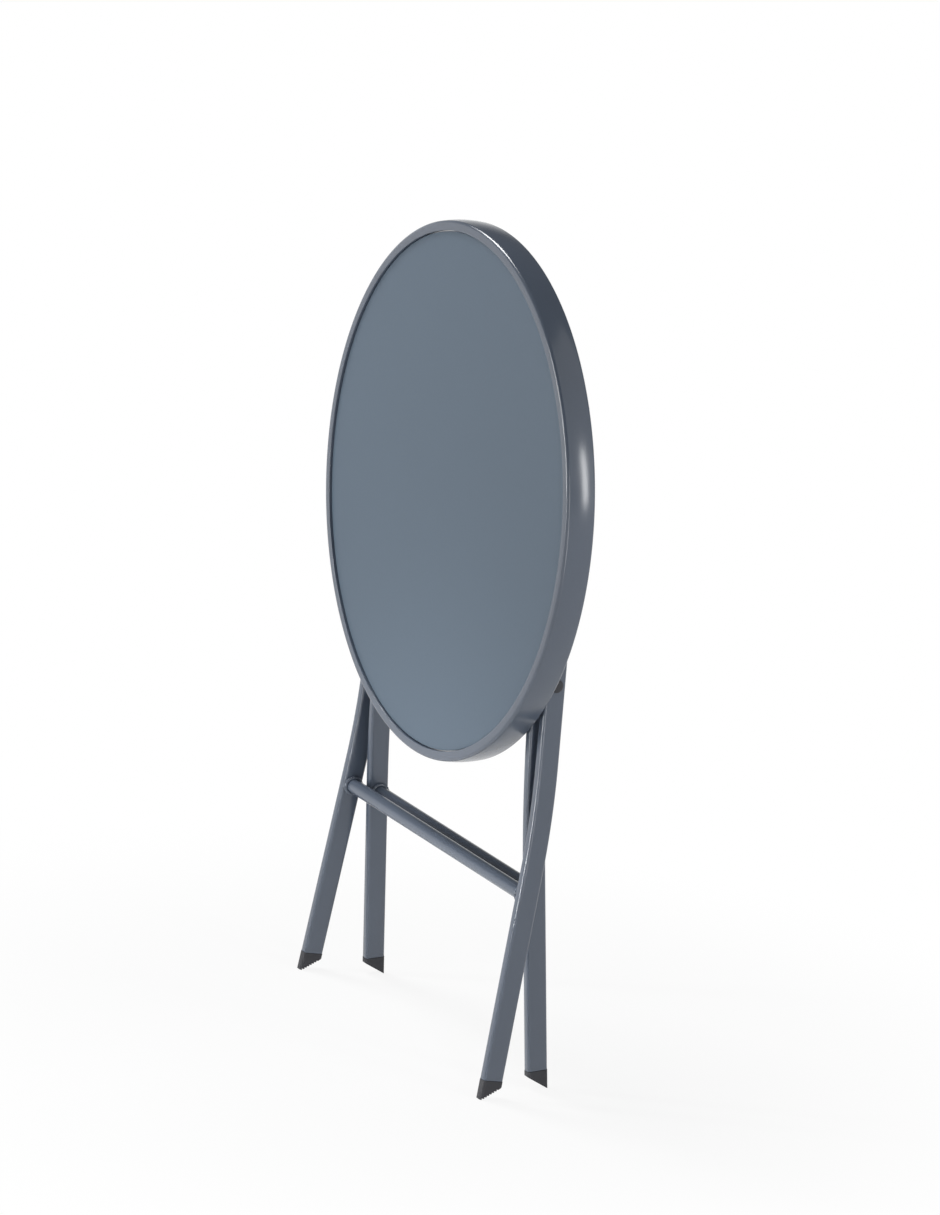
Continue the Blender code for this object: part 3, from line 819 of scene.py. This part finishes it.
@dataclass
class Tabletop:
    """The round top: rim, glass, rails, hinge brackets and catches."""

    finishes: Finishes
    rim_radius: float = 0.3030
    rim_width: float = 0.0124
    rim_depth: float = 0.0346
    rim_wall: float = 0.0015
    rim_crown: float = 0.0010
    crown_steps: int = 14
    lip_corner: float = 0.0038
    lip_steps: int = 9
    inner_corner: float = 0.0007
    inner_steps: int = 6
    seam: float = 0.0015
    seam_inset: float = 0.0032
    front_y: float = -0.0486
    centre_z: float = 0.6327
    glass_recess: float = 0.0029
    glass_thickness: float = 0.005
    glass_gap: float = 0.0008
    glass_bevel: float = 0.0006
    bevel_steps: int = 4
    rail_corner: float = 0.0016
    bracket_wall: float = 0.0025
    bracket_edge: float = 0.0005
    ear_steps: int = 24
    bolt_radius: float = 0.003
    bolt_tip: float = 0.0005
    bolt_head: float = 0.0035
    bolt_rise: float = 0.0009
    bolt_dome: float = 62.0
    bolt_flat: float = 0.42
    bolt_socket: Point = (0.0021, 0.002)
    nut_slope: float = 0.0008
    nut_face: float = 0.88
    nut_waist: float = 1.02
    hook_seat: float = 0.0113
    hook_wall: float = 0.0045
    hook_lip: float = 0.003
    hook_taper: Point = (0.0004, 0.0008)
    hook_ramp: float = 0.014
    hook_base: float = 0.004
    hook_fillet: Point = (0.0025, 0.003)
    hook_chamfer: float = 0.003
    hook_steps: int = 14
    hook_edge: float = 0.0004
    pocket_inset: float = 0.0012
    pocket_slope: float = 0.0004
    pocket_depth: float = 0.0012
    bar_y: float = -0.0013
    screw_radius: float = 0.002
    screw_tip: Point = (0.3, 0.002)
    screw_head: float = 0.0022
    screw_bend: float = 0.0014
    screw_recess: Place = (0.0034, 0.0022, 0.0008)
    head_steps: int = 6
    nut_sides: int = 48
    screw_sides: int = 40
    round_steps: int = 288

    def build(self) -> None:
        """Model and dress every piece of the top."""
        self.build_rim()
        self.build_glass()
        self.build_rail("hinge_rail")
        self.build_rail("catch_rail")
        self.build_bracket()
        self.build_hinge_bolt()
        self.build_hinge_nut()
        self.build_catch()
        self.build_catch_screw()

    @property
    def inner_radius(self) -> float:
        """Radius inside the rim."""
        return self.rim_radius - self.rim_width

    def build_rim(self) -> None:
        """Spin the rolled rim with its rounded lip, crowned side and open seam."""
        inner, depth, wall = self.inner_radius, self.rim_depth, self.rim_wall
        lip, nip = self.lip_corner, self.inner_corner
        edge = self.rim_radius - self.rim_crown
        seam_back = depth - self.seam_inset
        seam_front = seam_back - self.seam
        crown = []
        for step in range(1, self.crown_steps):
            share = step / self.crown_steps
            along = lip + (depth - 2 * lip) * share
            crown.append((edge + self.rim_crown * (1 - (2 * share - 1) ** 2), along))
        profile = [
            (inner, seam_front),
            *arc((inner + nip, nip), nip, 180, 270, self.inner_steps),
            *arc((edge - lip, lip), lip, 270, 360, self.lip_steps),
            *crown,
            *arc((edge - lip, depth - lip), lip, 0, 90, self.lip_steps),
            *arc((inner + nip, depth - nip), nip, 90, 180, self.inner_steps),
            (inner, seam_back),
            (inner + wall, seam_back),
            (inner + wall, depth - wall),
            (edge - wall, depth - wall),
            (edge - wall, wall),
            (inner + wall, wall),
            (inner + wall, seam_front),
        ]
        centre = Vector((0.0, self.front_y, self.centre_z))
        rim = Piece.lathe("rim_ring", profile, centre, Y_AXIS, self.round_steps, closed=True)
        self.finishes.dress(rim, Body.TOP, Slot.PAINT, "top_rim")

    def build_glass(self) -> None:
        """Spin the glass disc with its ground edge."""
        radius = self.inner_radius - self.glass_gap
        bevel, thick = self.glass_bevel, self.glass_thickness
        profile = [
            (0.0, 0.0),
            (radius / 2, 0.0),
            (radius - 4 * bevel, 0.0),
            *arc((radius - bevel, bevel), bevel, 270, 360, self.bevel_steps),
            *arc((radius - bevel, thick - bevel), bevel, 0, 90, self.bevel_steps),
            (radius / 2, thick),
            (0.0, thick),
        ]
        centre = Vector((0.0, self.front_y + self.glass_recess, self.centre_z))
        glass = Piece.lathe("glass_disc", profile, centre, Y_AXIS, self.round_steps)
        self.finishes.dress(glass, Body.TOP, Slot.GLASS, "glass_top")

    def build_rail(self, node: str) -> None:
        """Draw out one cross rail and trim it to the inside of the rim.

        Args:
            node: the rail's node.
        """
        low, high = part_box(node)
        middle = (low + high) / 2
        start = Vector((-self.rim_radius, middle.y, middle.z))
        size = (high.z - low.z, high.y - low.y)
        turn = (0.0, math.pi / 2, 0.0)
        rail = Piece.section(f"{node}_tube", size, self.rail_corner, start, turn)
        with rail.edit():
            draw_out(X_AXIS * 2 * self.rim_radius)
        front = Vector((0.0, low.y - GAP, self.centre_z))
        back = Vector((0.0, high.y + GAP, self.centre_z))
        trim = Piece.rod("trim", self.inner_radius - GAP, (front, back), self.round_steps)
        rail.cut(trim, Cut.COMMON)
        self.finishes.dress(rail.tidy(), Body.TOP, Slot.PAINT, node)

    def drill(self, piece: Piece, start: Vector, end: Vector) -> None:
        """Drill a hole for the hinge bolt."""
        piece.cut(Piece.rod("hole", self.bolt_radius + GAP, (start, end), HOLE_SIDES))

    def build_bracket(self) -> None:
        """Fold a hinge bracket with its two drilled ears."""
        low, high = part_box("hinge_bracket_right")
        bolt, _, _ = turned_node("hinge_bolt_right")
        ear = high.y - bolt.y
        wall = self.bracket_wall
        outline = [
            (low.y, high.z),
            (low.y, low.z),
            *arc((bolt.y, bolt.z), ear, -90, 90, self.ear_steps),
        ]
        bracket = Piece.slab("hinge_ears", outline, low.x, high.x)
        slot_size = (high.x - low.x - 2 * wall, high.y - low.y, 2 * (high.z - low.z))
        slot_at = Vector(((low.x + high.x) / 2, (low.y + high.y) / 2 + wall, bolt.z))
        bracket.cut(Piece.block("slot", slot_size, slot_at))
        start = Vector((low.x - wall, bolt.y, bolt.z))
        self.drill(bracket, start, Vector((high.x + wall, bolt.y, bolt.z)))
        bracket.soften(self.bracket_edge)
        self.finishes.pair(bracket.tidy(), Body.TOP, Slot.PAINT, "hinge_bracket")

    def build_hinge_bolt(self) -> None:
        """Turn the hinge's button-head bolt and sink its hexagon socket."""
        start, length, head = turned_node("hinge_bolt_right")
        shank, tip = self.bolt_radius, self.bolt_tip
        shoulder = length - self.bolt_head
        rise = self.bolt_rise
        dome = (head, self.bolt_head - rise)
        profile = [
            (0.0, 0.0),
            (shank - tip, 0.0),
            (shank, tip),
            (shank, shoulder),
            (head - GAP, shoulder),
            (head, shoulder + GAP),
            *arc((0.0, shoulder + rise), dome, 0, self.bolt_dome, self.head_steps),
            (head * self.bolt_flat, length),
            (0.0, length),
        ]
        bolt = Piece.lathe("hinge_screw", profile, start, X_AXIS, self.screw_sides)
        bolt.sink_socket(start + X_AXIS * length, self.bolt_socket)
        self.finishes.pair(bolt.tidy(), Body.TOP, Slot.ZINC, "hinge_bolt")

    def build_hinge_nut(self) -> None:
        """Chamfer the hinge's hexagon nut and bore it."""
        start, height, radius = turned_node("hinge_nut_right")
        nut = Piece.rod("hinge_hexnut", radius, (start, start + X_AXIS * height), HEX_SIDES)
        waist = (radius * self.nut_waist, self.nut_slope)
        profile = both_ends([(0.0, 0.0), (radius * self.nut_face, 0.0), waist], height)
        nut.cut(Piece.lathe("chamfer", profile, start, X_AXIS, self.nut_sides), Cut.COMMON)
        self.drill(nut, start - X_AXIS * height, start + X_AXIS * 2 * height)
        self.finishes.pair(nut.tidy(), Body.TOP, Slot.ZINC, "hinge_nut")

    def build_catch(self) -> None:
        """Mould a hooked catch with a pocket in each side."""
        low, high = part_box("catch_right")
        seat = self.hook_seat
        shell = seat + self.hook_wall
        foot = low.y + self.hook_base
        y, z = middle = (self.bar_y, high.z - self.hook_ramp)
        inward, outward = self.hook_taper
        across, down = self.hook_fillet
        outline = [
            (low.y, low.z),
            (foot, low.z),
            (foot, z - shell - down),
            (foot + across, z - shell),
            *arc(middle, shell, -90, 0, self.hook_steps),
            (y + shell - outward, z + self.hook_lip),
            (y + seat + inward, z + self.hook_lip),
            *arc(middle, seat, 0, -180, 2 * self.hook_steps),
            (y - seat, high.z - self.hook_chamfer),
            (y - seat - self.hook_chamfer, high.z),
            (low.y, high.z),
        ]
        catch = Piece.slab("catch_hook", outline, low.x, high.x)
        pocket = {"thickness": self.pocket_slope, "depth": -self.pocket_depth}
        with catch.edit():
            catch.pick(Part.FACES, lambda face: abs(face.normal.x) > SQUARE)
            bpy.ops.mesh.inset(thickness=self.pocket_inset, depth=0.0, use_individual=True)
            bpy.ops.mesh.inset(use_individual=True, **pocket)
        catch.soften(self.hook_edge, angle=50.0)
        self.finishes.pair(catch.tidy(), Body.TOP, Slot.PLASTIC, "catch")

    def build_catch_screw(self) -> None:
        """Turn the catch's pan-head screw and sink its cross recess."""
        start, length, head = turned_node("catch_screw_right", Y_AXIS)
        shank, bend = self.screw_radius, self.screw_bend
        shoulder = length - self.screw_head
        share, taper = self.screw_tip
        pan = (bend, self.screw_head - GAP)
        profile = [
            (0.0, 0.0),
            (shank * share, 0.0),
            (shank, taper),
            (shank, shoulder),
            (head, shoulder),
            *arc((head - bend, shoulder + GAP), pan, 0, 90, self.head_steps),
            (0.0, length),
        ]
        screw = Piece.lathe("catch_fixing", profile, start, Y_AXIS, self.screw_sides)
        for arm in (self.screw_recess, self.screw_recess[::-1]):
            screw.cut(Piece.block("recess", arm, start + Y_AXIS * length))
        self.finishes.pair(screw.tidy(), Body.TOP, Slot.ZINC, "catch_screw")


@dataclass
class LegFrame:
    """One leg frame: two bent tubes with feet and plugs, crossbars and weld seams."""

    finishes: Finishes
    body: Body
    prefix: str
    facing: Facing
    foot_x: float
    upper_y: float
    lean: float
    bend: float
    top_z: float
    bars: Mapping[str, str]
    width: float = 0.0245
    thickness: float = 0.0122
    corner: float = 0.0036
    tube_edge: float = 0.0004
    foot_y: float = 0.0366
    tube_end: float = 0.0205
    splay: float = math.radians(2.446)
    flange: float = 0.0003
    plug_cap: float = 0.0025
    plug_edge: float = 0.0012
    shoe_edge: float = 0.0003
    toe_drop: float = 0.0008
    open_angle: float = math.radians(28.0)
    groove_count: int = 7
    groove_pitch: float = 0.0033
    groove_width: float = 0.0015
    groove_depth: float = 0.0011
    bar_edge: float = 0.0006
    bar_sides: int = 64
    bead: float = 0.0022
    bead_shift: float = 0.0004
    bead_sides: int = 12
    bead_ripples: int = 22
    ripple_rings: int = 3
    ripple_swell: float = 1.05
    bead_scatter: float = 0.00022
    bend_steps: int = 16

    def build(self) -> None:
        """Model and dress every piece of the frame."""
        self.build_tube()
        self.build_shoe()
        self.build_stopper()
        for seed, (bar, weld) in enumerate(self.bars.items(), 1):
            radius = self.build_bar(bar)
            self.build_bead(weld, radius, seed)

    @property
    def sign(self) -> int:
        """Sign along Y of the feet."""
        return self.facing.value

    @property
    def bend_start(self) -> float:
        """Height at which the leg starts to bend."""
        slope = math.tan(self.lean)
        return (self.foot_y - self.sign * self.upper_y) / slope - self.bend / 2

    def point(self, z: float) -> Vector:
        """Find a point of the right leg's centre line.

        Args:
            z: height.

        Returns:
            The point.
        """
        past = min(max(z - self.bend_start, 0.0), self.bend)
        climb = min(z, self.bend_start) + past - past * past / (2 * self.bend)
        x = self.foot_x - math.tan(self.splay) * z
        return Vector((x, self.sign * (self.foot_y - math.tan(self.lean) * climb), z))

    def tilt(self, z: float) -> float:
        """How far the leg leans towards +Y at a height, in radians."""
        way = self.point(z + GAP) - self.point(z - GAP)
        return math.atan2(way.y, way.z)

    def section_at(self, name: str, z: float, grow: float = 0.0) -> Piece:
        """Lay the tube's section, square to the leg at a height.

        Args:
            name: the piece's name.
            z: height.
            grow: how much larger it is all round.

        Returns:
            The section.
        """
        size = (self.thickness + 2 * grow, self.width + 2 * grow)
        turn = (-self.tilt(z), -self.splay, 0.0)
        return Piece.section(name, size, self.corner + grow, self.point(z), turn)

    def build_tube(self) -> None:
        """Draw a leg tube out along its bent centre line."""
        steps = range(self.bend_steps + 1)
        bend = [self.bend_start + self.bend * step / self.bend_steps for step in steps]
        heights = [self.tube_end, *bend, self.top_z]
        tube = self.section_at(f"{self.prefix}_tube", heights[0])
        with tube.edit():
            for below, above in zip(heights, heights[1:]):
                place = self.point(above)
                draw_out(place - self.point(below))
                turn = self.tilt(above) - self.tilt(below)
                bpy.ops.transform.rotate(value=turn, orient_axis="X", center_override=place)
        tube.soften(self.tube_edge, angle=70.0)
        self.finishes.pair(tube.tidy(), self.body, Slot.PAINT, f"{self.prefix}_leg")

    def build_shoe(self) -> None:
        """Cut a plastic foot to its slanted sole and groove it."""
        top = self.tube_end - GAP
        end = self.facing.name.lower()
        shoe = self.section_at(f"{end}_shoe", top, self.flange)
        tip_y = self.sign * (self.foot_y + (self.width / 2 + self.flange) / math.cos(self.lean))
        tip = Vector((self.foot_x, tip_y, -self.toe_drop))
        slant = -self.sign * self.open_angle
        down = Vector((0.0, math.sin(slant), -math.cos(slant)))
        along = Vector((0.0, -self.sign * math.cos(slant), math.sin(self.open_angle)))
        keep = {"use_fill": True, "clear_outer": True}
        with shoe.edit():
            draw_out(self.point(-self.width) - self.point(top))
            for place, normal in ((tip, down), (Vector(), -Z_AXIS)):
                bpy.ops.mesh.select_all(action="SELECT")
                bpy.ops.mesh.normals_make_consistent(inside=False)
                bpy.ops.mesh.bisect(plane_co=place, plane_no=normal, **keep)
        size = (4 * self.thickness, self.groove_width, 2 * self.groove_depth)
        groove = Piece.block("groove", size, tip + along * self.groove_pitch, slant)
        groove.apply(
            "ARRAY",
            count=self.groove_count,
            use_relative_offset=False,
            use_constant_offset=True,
            constant_offset_displace=along * self.groove_pitch,
        )
        shoe.cut(groove)
        shoe.soften(self.shoe_edge, angle=40.0)
        self.finishes.pair(shoe.tidy(), self.body, Slot.PLASTIC, f"{end}_foot")

    def build_stopper(self) -> None:
        """Draw out the plug cap that closes a tube's upper end."""
        stopper = self.section_at(f"{self.prefix}_stopper", self.top_z + GAP)
        with stopper.edit():
            draw_out(Z_AXIS * self.plug_cap)
            bpy.ops.mesh.bevel(offset=self.plug_edge, segments=3, affect="EDGES")
        self.finishes.pair(stopper.tidy(), self.body, Slot.PLASTIC, f"{self.prefix}_plug")

    def build_bar(self, node: str) -> float:
        """Turn a round crossbar.

        Args:
            node: the bar's node.

        Returns:
            Its radius.
        """
        start, length, radius = turned_node(node)
        nip = self.bar_edge
        profile = both_ends([(0.0, 0.0), (radius - nip, 0.0), (radius, nip)], length)
        bar = Piece.lathe(f"{node}_tube", profile, start, X_AXIS, self.bar_sides)
        self.finishes.dress(bar, self.body, Slot.PAINT, node)
        return radius

    def build_bead(self, stem: str, radius: float, seed: int) -> None:
        """Lay a rippled weld bead between a bar and its leg.

        Args:
            stem: the weld nodes' name without the side.
            radius: radius of the bar.
            seed: number that varies the bead.
        """
        low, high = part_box(f"{stem}_right")
        middle = (low + high) / 2
        rings = self.ripple_rings * self.bead_ripples
        deselect()
        bpy.ops.mesh.primitive_torus_add(
            major_segments=rings,
            minor_segments=self.bead_sides,
            major_radius=radius + self.bead / 2,
            minor_radius=self.bead,
            location=middle + X_AXIS * self.bead_shift,
            rotation=(0.0, math.pi / 2 - self.splay, 0.0),
        )
        bead = Piece(f"{stem}_bead")

        def crest(point: bmesh.types.BMVert) -> bool:
            """Tell whether a point is on the crest of a ripple."""
            turn = math.atan2(point.co.z - middle.z, point.co.y - middle.y) / math.tau
            return round(turn * rings) % self.ripple_rings == 0

        swell = (1.0, self.ripple_swell, self.ripple_swell)
        with bead.edit():
            bead.pick(Part.POINTS, crest)
            bpy.ops.transform.resize(value=swell, center_override=middle)
            bpy.ops.mesh.select_all(action="SELECT")
            bpy.ops.transform.vertex_random(offset=self.bead_scatter, seed=seed)
        bead.apply("SUBSURF", levels=1, render_levels=1)
        bead.tidy(angle=60.0)
        self.finishes.pair(bead, self.body, Slot.PAINT, stem, self.finishes.weld)


@dataclass
class Pivots:
    """Caps, spacers and sleeve nuts of the scissor pivots, and the sleeves on the upper bar."""

    finishes: Finishes
    cap_wall: float = 0.0014
    cap_inside: float = 0.0059
    cap_edge: float = 0.0004
    dome: float = 0.0022
    dome_steps: int = 10
    pin_hole: float = 0.0043
    groove_start: float = 0.35
    nut_stem: float = 0.004
    nut_head: float = 0.004
    nut_rise: float = 0.0024
    nut_dome: float = 60.0
    nut_steps: int = 6
    nut_socket: Point = (0.0029, 0.0025)
    bar_radius: float = 0.0085
    collar: float = 0.0025
    nip: float = 0.0006
    sides: int = 48
    bush_sides: int = 56

    def build(self) -> None:
        """Model and dress every turned piece."""
        self.build_button()
        self.build_washer()
        self.build_sleeve_nut()
        self.build_bush()

    def build_button(self) -> None:
        """Turn the domed cap over a pivot bolt."""
        start, height, radius = turned_node("pivot_cap_right")
        roof = height - self.cap_wall
        dome = arc((0.0, height - self.dome), (radius, self.dome), 0, 90, self.dome_steps)
        profile = [
            *reversed(dome),
            (radius, self.cap_edge),
            (radius - self.cap_edge, 0.0),
            (self.cap_inside, 0.0),
            (self.cap_inside, roof),
            (0.0, roof),
        ]
        cap = Piece.lathe("pivot_button", profile, start, X_AXIS, self.sides)
        self.finishes.pair(cap, Body.PIVOTS, Slot.PLASTIC, "pivot_cap")

    def build_washer(self) -> None:
        """Turn the spacer between two legs, with a shallow groove round it."""
        start, height, radius = turned_node("pivot_spacer_right")
        nip = self.nip
        groove = height * self.groove_start
        half = [
            (self.pin_hole, 0.0),
            (radius - nip, 0.0),
            (radius, nip),
            (radius, groove),
            (radius - nip, groove + nip),
        ]
        profile = both_ends(half, height)
        washer = Piece.lathe("pivot_washer", profile, start, X_AXIS, self.sides, closed=True)
        self.finishes.pair(washer, Body.PIVOTS, Slot.PLASTIC, "pivot_spacer")

    def build_sleeve_nut(self) -> None:
        """Turn the sleeve nut of an inner leg and sink its hexagon socket."""
        start, length, head = turned_node("pivot_nut_right")
        rise = self.nut_rise
        profile = [
            (0.0, 0.0),
            *reversed(arc((0.0, rise), (head, -rise), 0, self.nut_dome, self.nut_steps)),
            (head, self.nut_head),
            (self.nut_stem, self.nut_head),
            (self.nut_stem, length),
            (0.0, length),
        ]
        nut = Piece.lathe("pivot_sleeve", profile, start, X_AXIS, self.sides)
        nut.sink_socket(start, self.nut_socket)
        self.finishes.pair(nut.tidy(), Body.INNER, Slot.ZINC, "pivot_nut")

    def build_bush(self) -> None:
        """Turn the plastic sleeve on the upper bar, with a collar at each end."""
        start, length, radius = turned_node("bar_sleeve_right")
        nip = self.nip
        half = [
            (self.bar_radius + GAP, 0.0),
            (radius - nip, 0.0),
            (radius, nip),
            (radius, self.collar),
            (radius - GAP, self.collar + GAP),
        ]
        profile = both_ends(half, length)
        bush = Piece.lathe("bar_bush", profile, start, X_AXIS, self.bush_sides, closed=True)
        self.finishes.pair(bush, Body.SLEEVES, Slot.PLASTIC, "bar_sleeve")


@dataclass(frozen=True)
class Softbox:
    """One studio lamp."""

    name: str
    place: Place
    target: Place
    size: Point
    power: float
    spread: float = math.pi


@dataclass
class Studio:
    """Floor, surroundings, lamps and the camera."""

    camera_place: Place = (5.1532847, -2.6978438, 1.8010442)
    camera_yaw: float = math.radians(62.339)
    camera_pitch: float = math.radians(12.62)
    camera_roll: float = math.radians(5.948)
    lens: float = 156.83
    sensor: float = 36.0
    floor_size: float = 160.0
    floor_colour: Colour = (0.86, 0.86, 0.86)
    floor_roughness: float = 0.9
    shadow_fade: Point = (0.25, 0.9)
    shadow_share: float = 0.12
    wall: Colour = (0.46, 0.46, 0.46)
    ceiling: Colour = (0.10, 0.10, 0.10)
    ceiling_fade: Point = (0.02, 0.4)
    lamps: tuple[Softbox, ...] = (
        Softbox("front_strip", (-0.90, -2.15, 0.80), (0.0, 0.0, 0.62), (0.2, 0.95), 24.0),
        Softbox("left_box", (-1.40, -0.70, 2.45), (0.0, -0.05, 0.80), (0.8, 1.1), 40.0),
        Softbox("right_strip", (1.90, -0.35, 0.65), (0.2, -0.02, 0.55), (0.25, 1.3), 8.0),
        Softbox("rear_strip", (1.35, 0.665, 1.07), (0.29, -0.027, 0.70), (0.18, 0.52), 3.4),
        Softbox("back_panel", (1.58, 1.03, 2.25), (0.2, 0.0, 0.70), (2.4, 2.4), 11.5),
        Softbox("low_strip", (0.20, -1.25, 0.15), (0.05, 0.0, 0.14), (0.20, 0.28), 0.50, 0.72),
    )

    def build(self) -> None:
        """Set up the whole studio."""
        self.build_floor()
        self.build_surroundings()
        for lamp in self.lamps:
            self.build_lamp(lamp)
        self.build_camera()
        bpy.context.scene.view_settings.view_transform = "Standard"

    def build_floor(self) -> None:
        """Lay the pale floor, which shows white from afar and keeps the table's shadow."""
        deselect()
        bpy.ops.mesh.primitive_plane_add(size=self.floor_size, location=(0.0, 0.0, -GAP))
        floor = Piece("studio_floor").thing
        desk = MaterialDesk("pale_floor")
        desk.dress(Base_Color=(*self.floor_colour, 1.0), Roughness=self.floor_roughness)
        desk.dress(Specular_IOR_Level=0.0)
        where, length = {0: desk.place()}, {"operation": "LENGTH"}
        away = desk.add("ShaderNodeVectorMath", where, length, "Value")
        start, end = self.shadow_fade
        fade = {"Value": away, "From Min": start, "From Max": end, "To Min": 1.0, "To Max": 0.0}
        near = desk.add("ShaderNodeMapRange", fade, {"interpolation_type": "SMOOTHSTEP"})
        share = desk.seen_directly() * (1 - near * self.shadow_share)
        glow = desk.add("ShaderNodeEmission", {"Color": (*WHITE, 1.0), "Strength": 1.0})
        base = Wire(desk, desk.shader.outputs[0])
        mixed = desk.add("ShaderNodeMixShader", {0: share, 1: base, 2: glow})
        desk.feed(desk.tree.nodes["Material Output"].inputs["Surface"], mixed)
        floor.data.materials.append(desk.material)

    def build_surroundings(self) -> None:
        """Surround the table with pale walls that fade into a darker ceiling."""
        world = bpy.data.worlds.new("studio")
        bpy.context.scene.world = world
        world.use_nodes = True
        desk = ShaderDesk(world.node_tree)
        direction = desk.add("ShaderNodeTexCoord", {}, outlet="Generated")
        height = desk.add("ShaderNodeSeparateXYZ", {"Vector": direction}, outlet="Z")
        start, end = self.ceiling_fade
        span = {"Value": height, "From Min": start, "From Max": end}
        fade = desk.add("ShaderNodeMapRange", span)
        lit = desk.blend(fade, self.wall, self.ceiling)
        shown = desk.blend(fade, WHITE, self.ceiling)
        room = desk.blend(desk.seen_directly(), lit, shown)
        camera = desk.add("ShaderNodeLightPath", {}, outlet="Is Camera Ray")
        backdrop = desk.blend(camera, room, WHITE)
        desk.feed(desk.tree.nodes["Background"].inputs["Color"], backdrop)

    def build_lamp(self, lamp: Softbox) -> None:
        """Hang one softbox.

        Args:
            lamp: the lamp's place, size and power.
        """
        deselect()
        place = Vector(lamp.place)
        turn = (Vector(lamp.target) - place).to_track_quat("-Z", "Y").to_euler()
        bpy.ops.object.light_add(type="AREA", location=place, rotation=turn)
        light = bpy.context.object
        light.name = lamp.name
        light.data.shape = "RECTANGLE"
        light.data.size, light.data.size_y = lamp.size
        light.data.energy = lamp.power
        light.data.spread = lamp.spread
        light.visible_camera = False

    def build_camera(self) -> None:
        """Set the camera where the photograph was taken from."""
        yaw, pitch, roll = self.camera_yaw, self.camera_pitch, self.camera_roll
        level = Vector((-math.sin(yaw), math.cos(yaw), 0.0))
        ahead = level * math.cos(pitch) - Z_AXIS * math.sin(pitch)
        right = Vector((math.cos(yaw), math.sin(yaw), 0.0))
        up = right.cross(ahead)
        rolled_right = right * math.cos(roll) + up * math.sin(roll)
        rolled_up = up * math.cos(roll) - right * math.sin(roll)
        turn = Matrix((rolled_right, rolled_up, -ahead)).transposed()
        deselect()
        bpy.ops.object.camera_add(location=self.camera_place, rotation=turn.to_euler())
        camera = bpy.context.object
        camera.data.sensor_width = self.sensor
        camera.data.lens = self.lens
        bpy.context.scene.camera = camera


def leg_frames(finishes: Finishes) -> tuple[LegFrame, LegFrame]:
    """Give the two leg frames their own sizes.

    Args:
        finishes: the table's finishes.

    Returns:
        The outer and the inner frame.
    """
    outer = LegFrame(
        finishes,
        Body.OUTER,
        prefix="outer",
        facing=Facing.FRONT,
        foot_x=0.2392,
        upper_y=0.0010,
        lean=math.radians(6.74),
        bend=0.120,
        top_z=0.7707,
        bars={"front_crossbar": "front_weld"},
    )
    inner = LegFrame(
        finishes,
        Body.INNER,
        prefix="inner",
        facing=Facing.REAR,
        foot_x=0.2132,
        upper_y=-0.0013,
        lean=math.radians(6.01),
        bend=0.240,
        top_z=0.774528,
        bars={"rear_crossbar": "rear_weld", "top_bar": "top_weld"},
    )
    return outer, inner


def main() -> None:
    """Build the studio and the table's visible pieces in order."""
    logging.basicConfig(level=logging.INFO, format="%(name)s: %(message)s")
    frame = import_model()
    Studio().build()
    finishes = Finishes()
    Tabletop(finishes).build()
    for leg_frame in leg_frames(finishes):
        leg_frame.build()
    Pivots(finishes).build()
    for name, node in sorted(frame["nodes"].items()):
        for stem, slot in KEPT_NODES.items():
            if name.startswith(stem):
                finishes.coat(node, slot)
                LOG.info("%s keeps its shape", name)


if __name__ == "__main__":
    main()
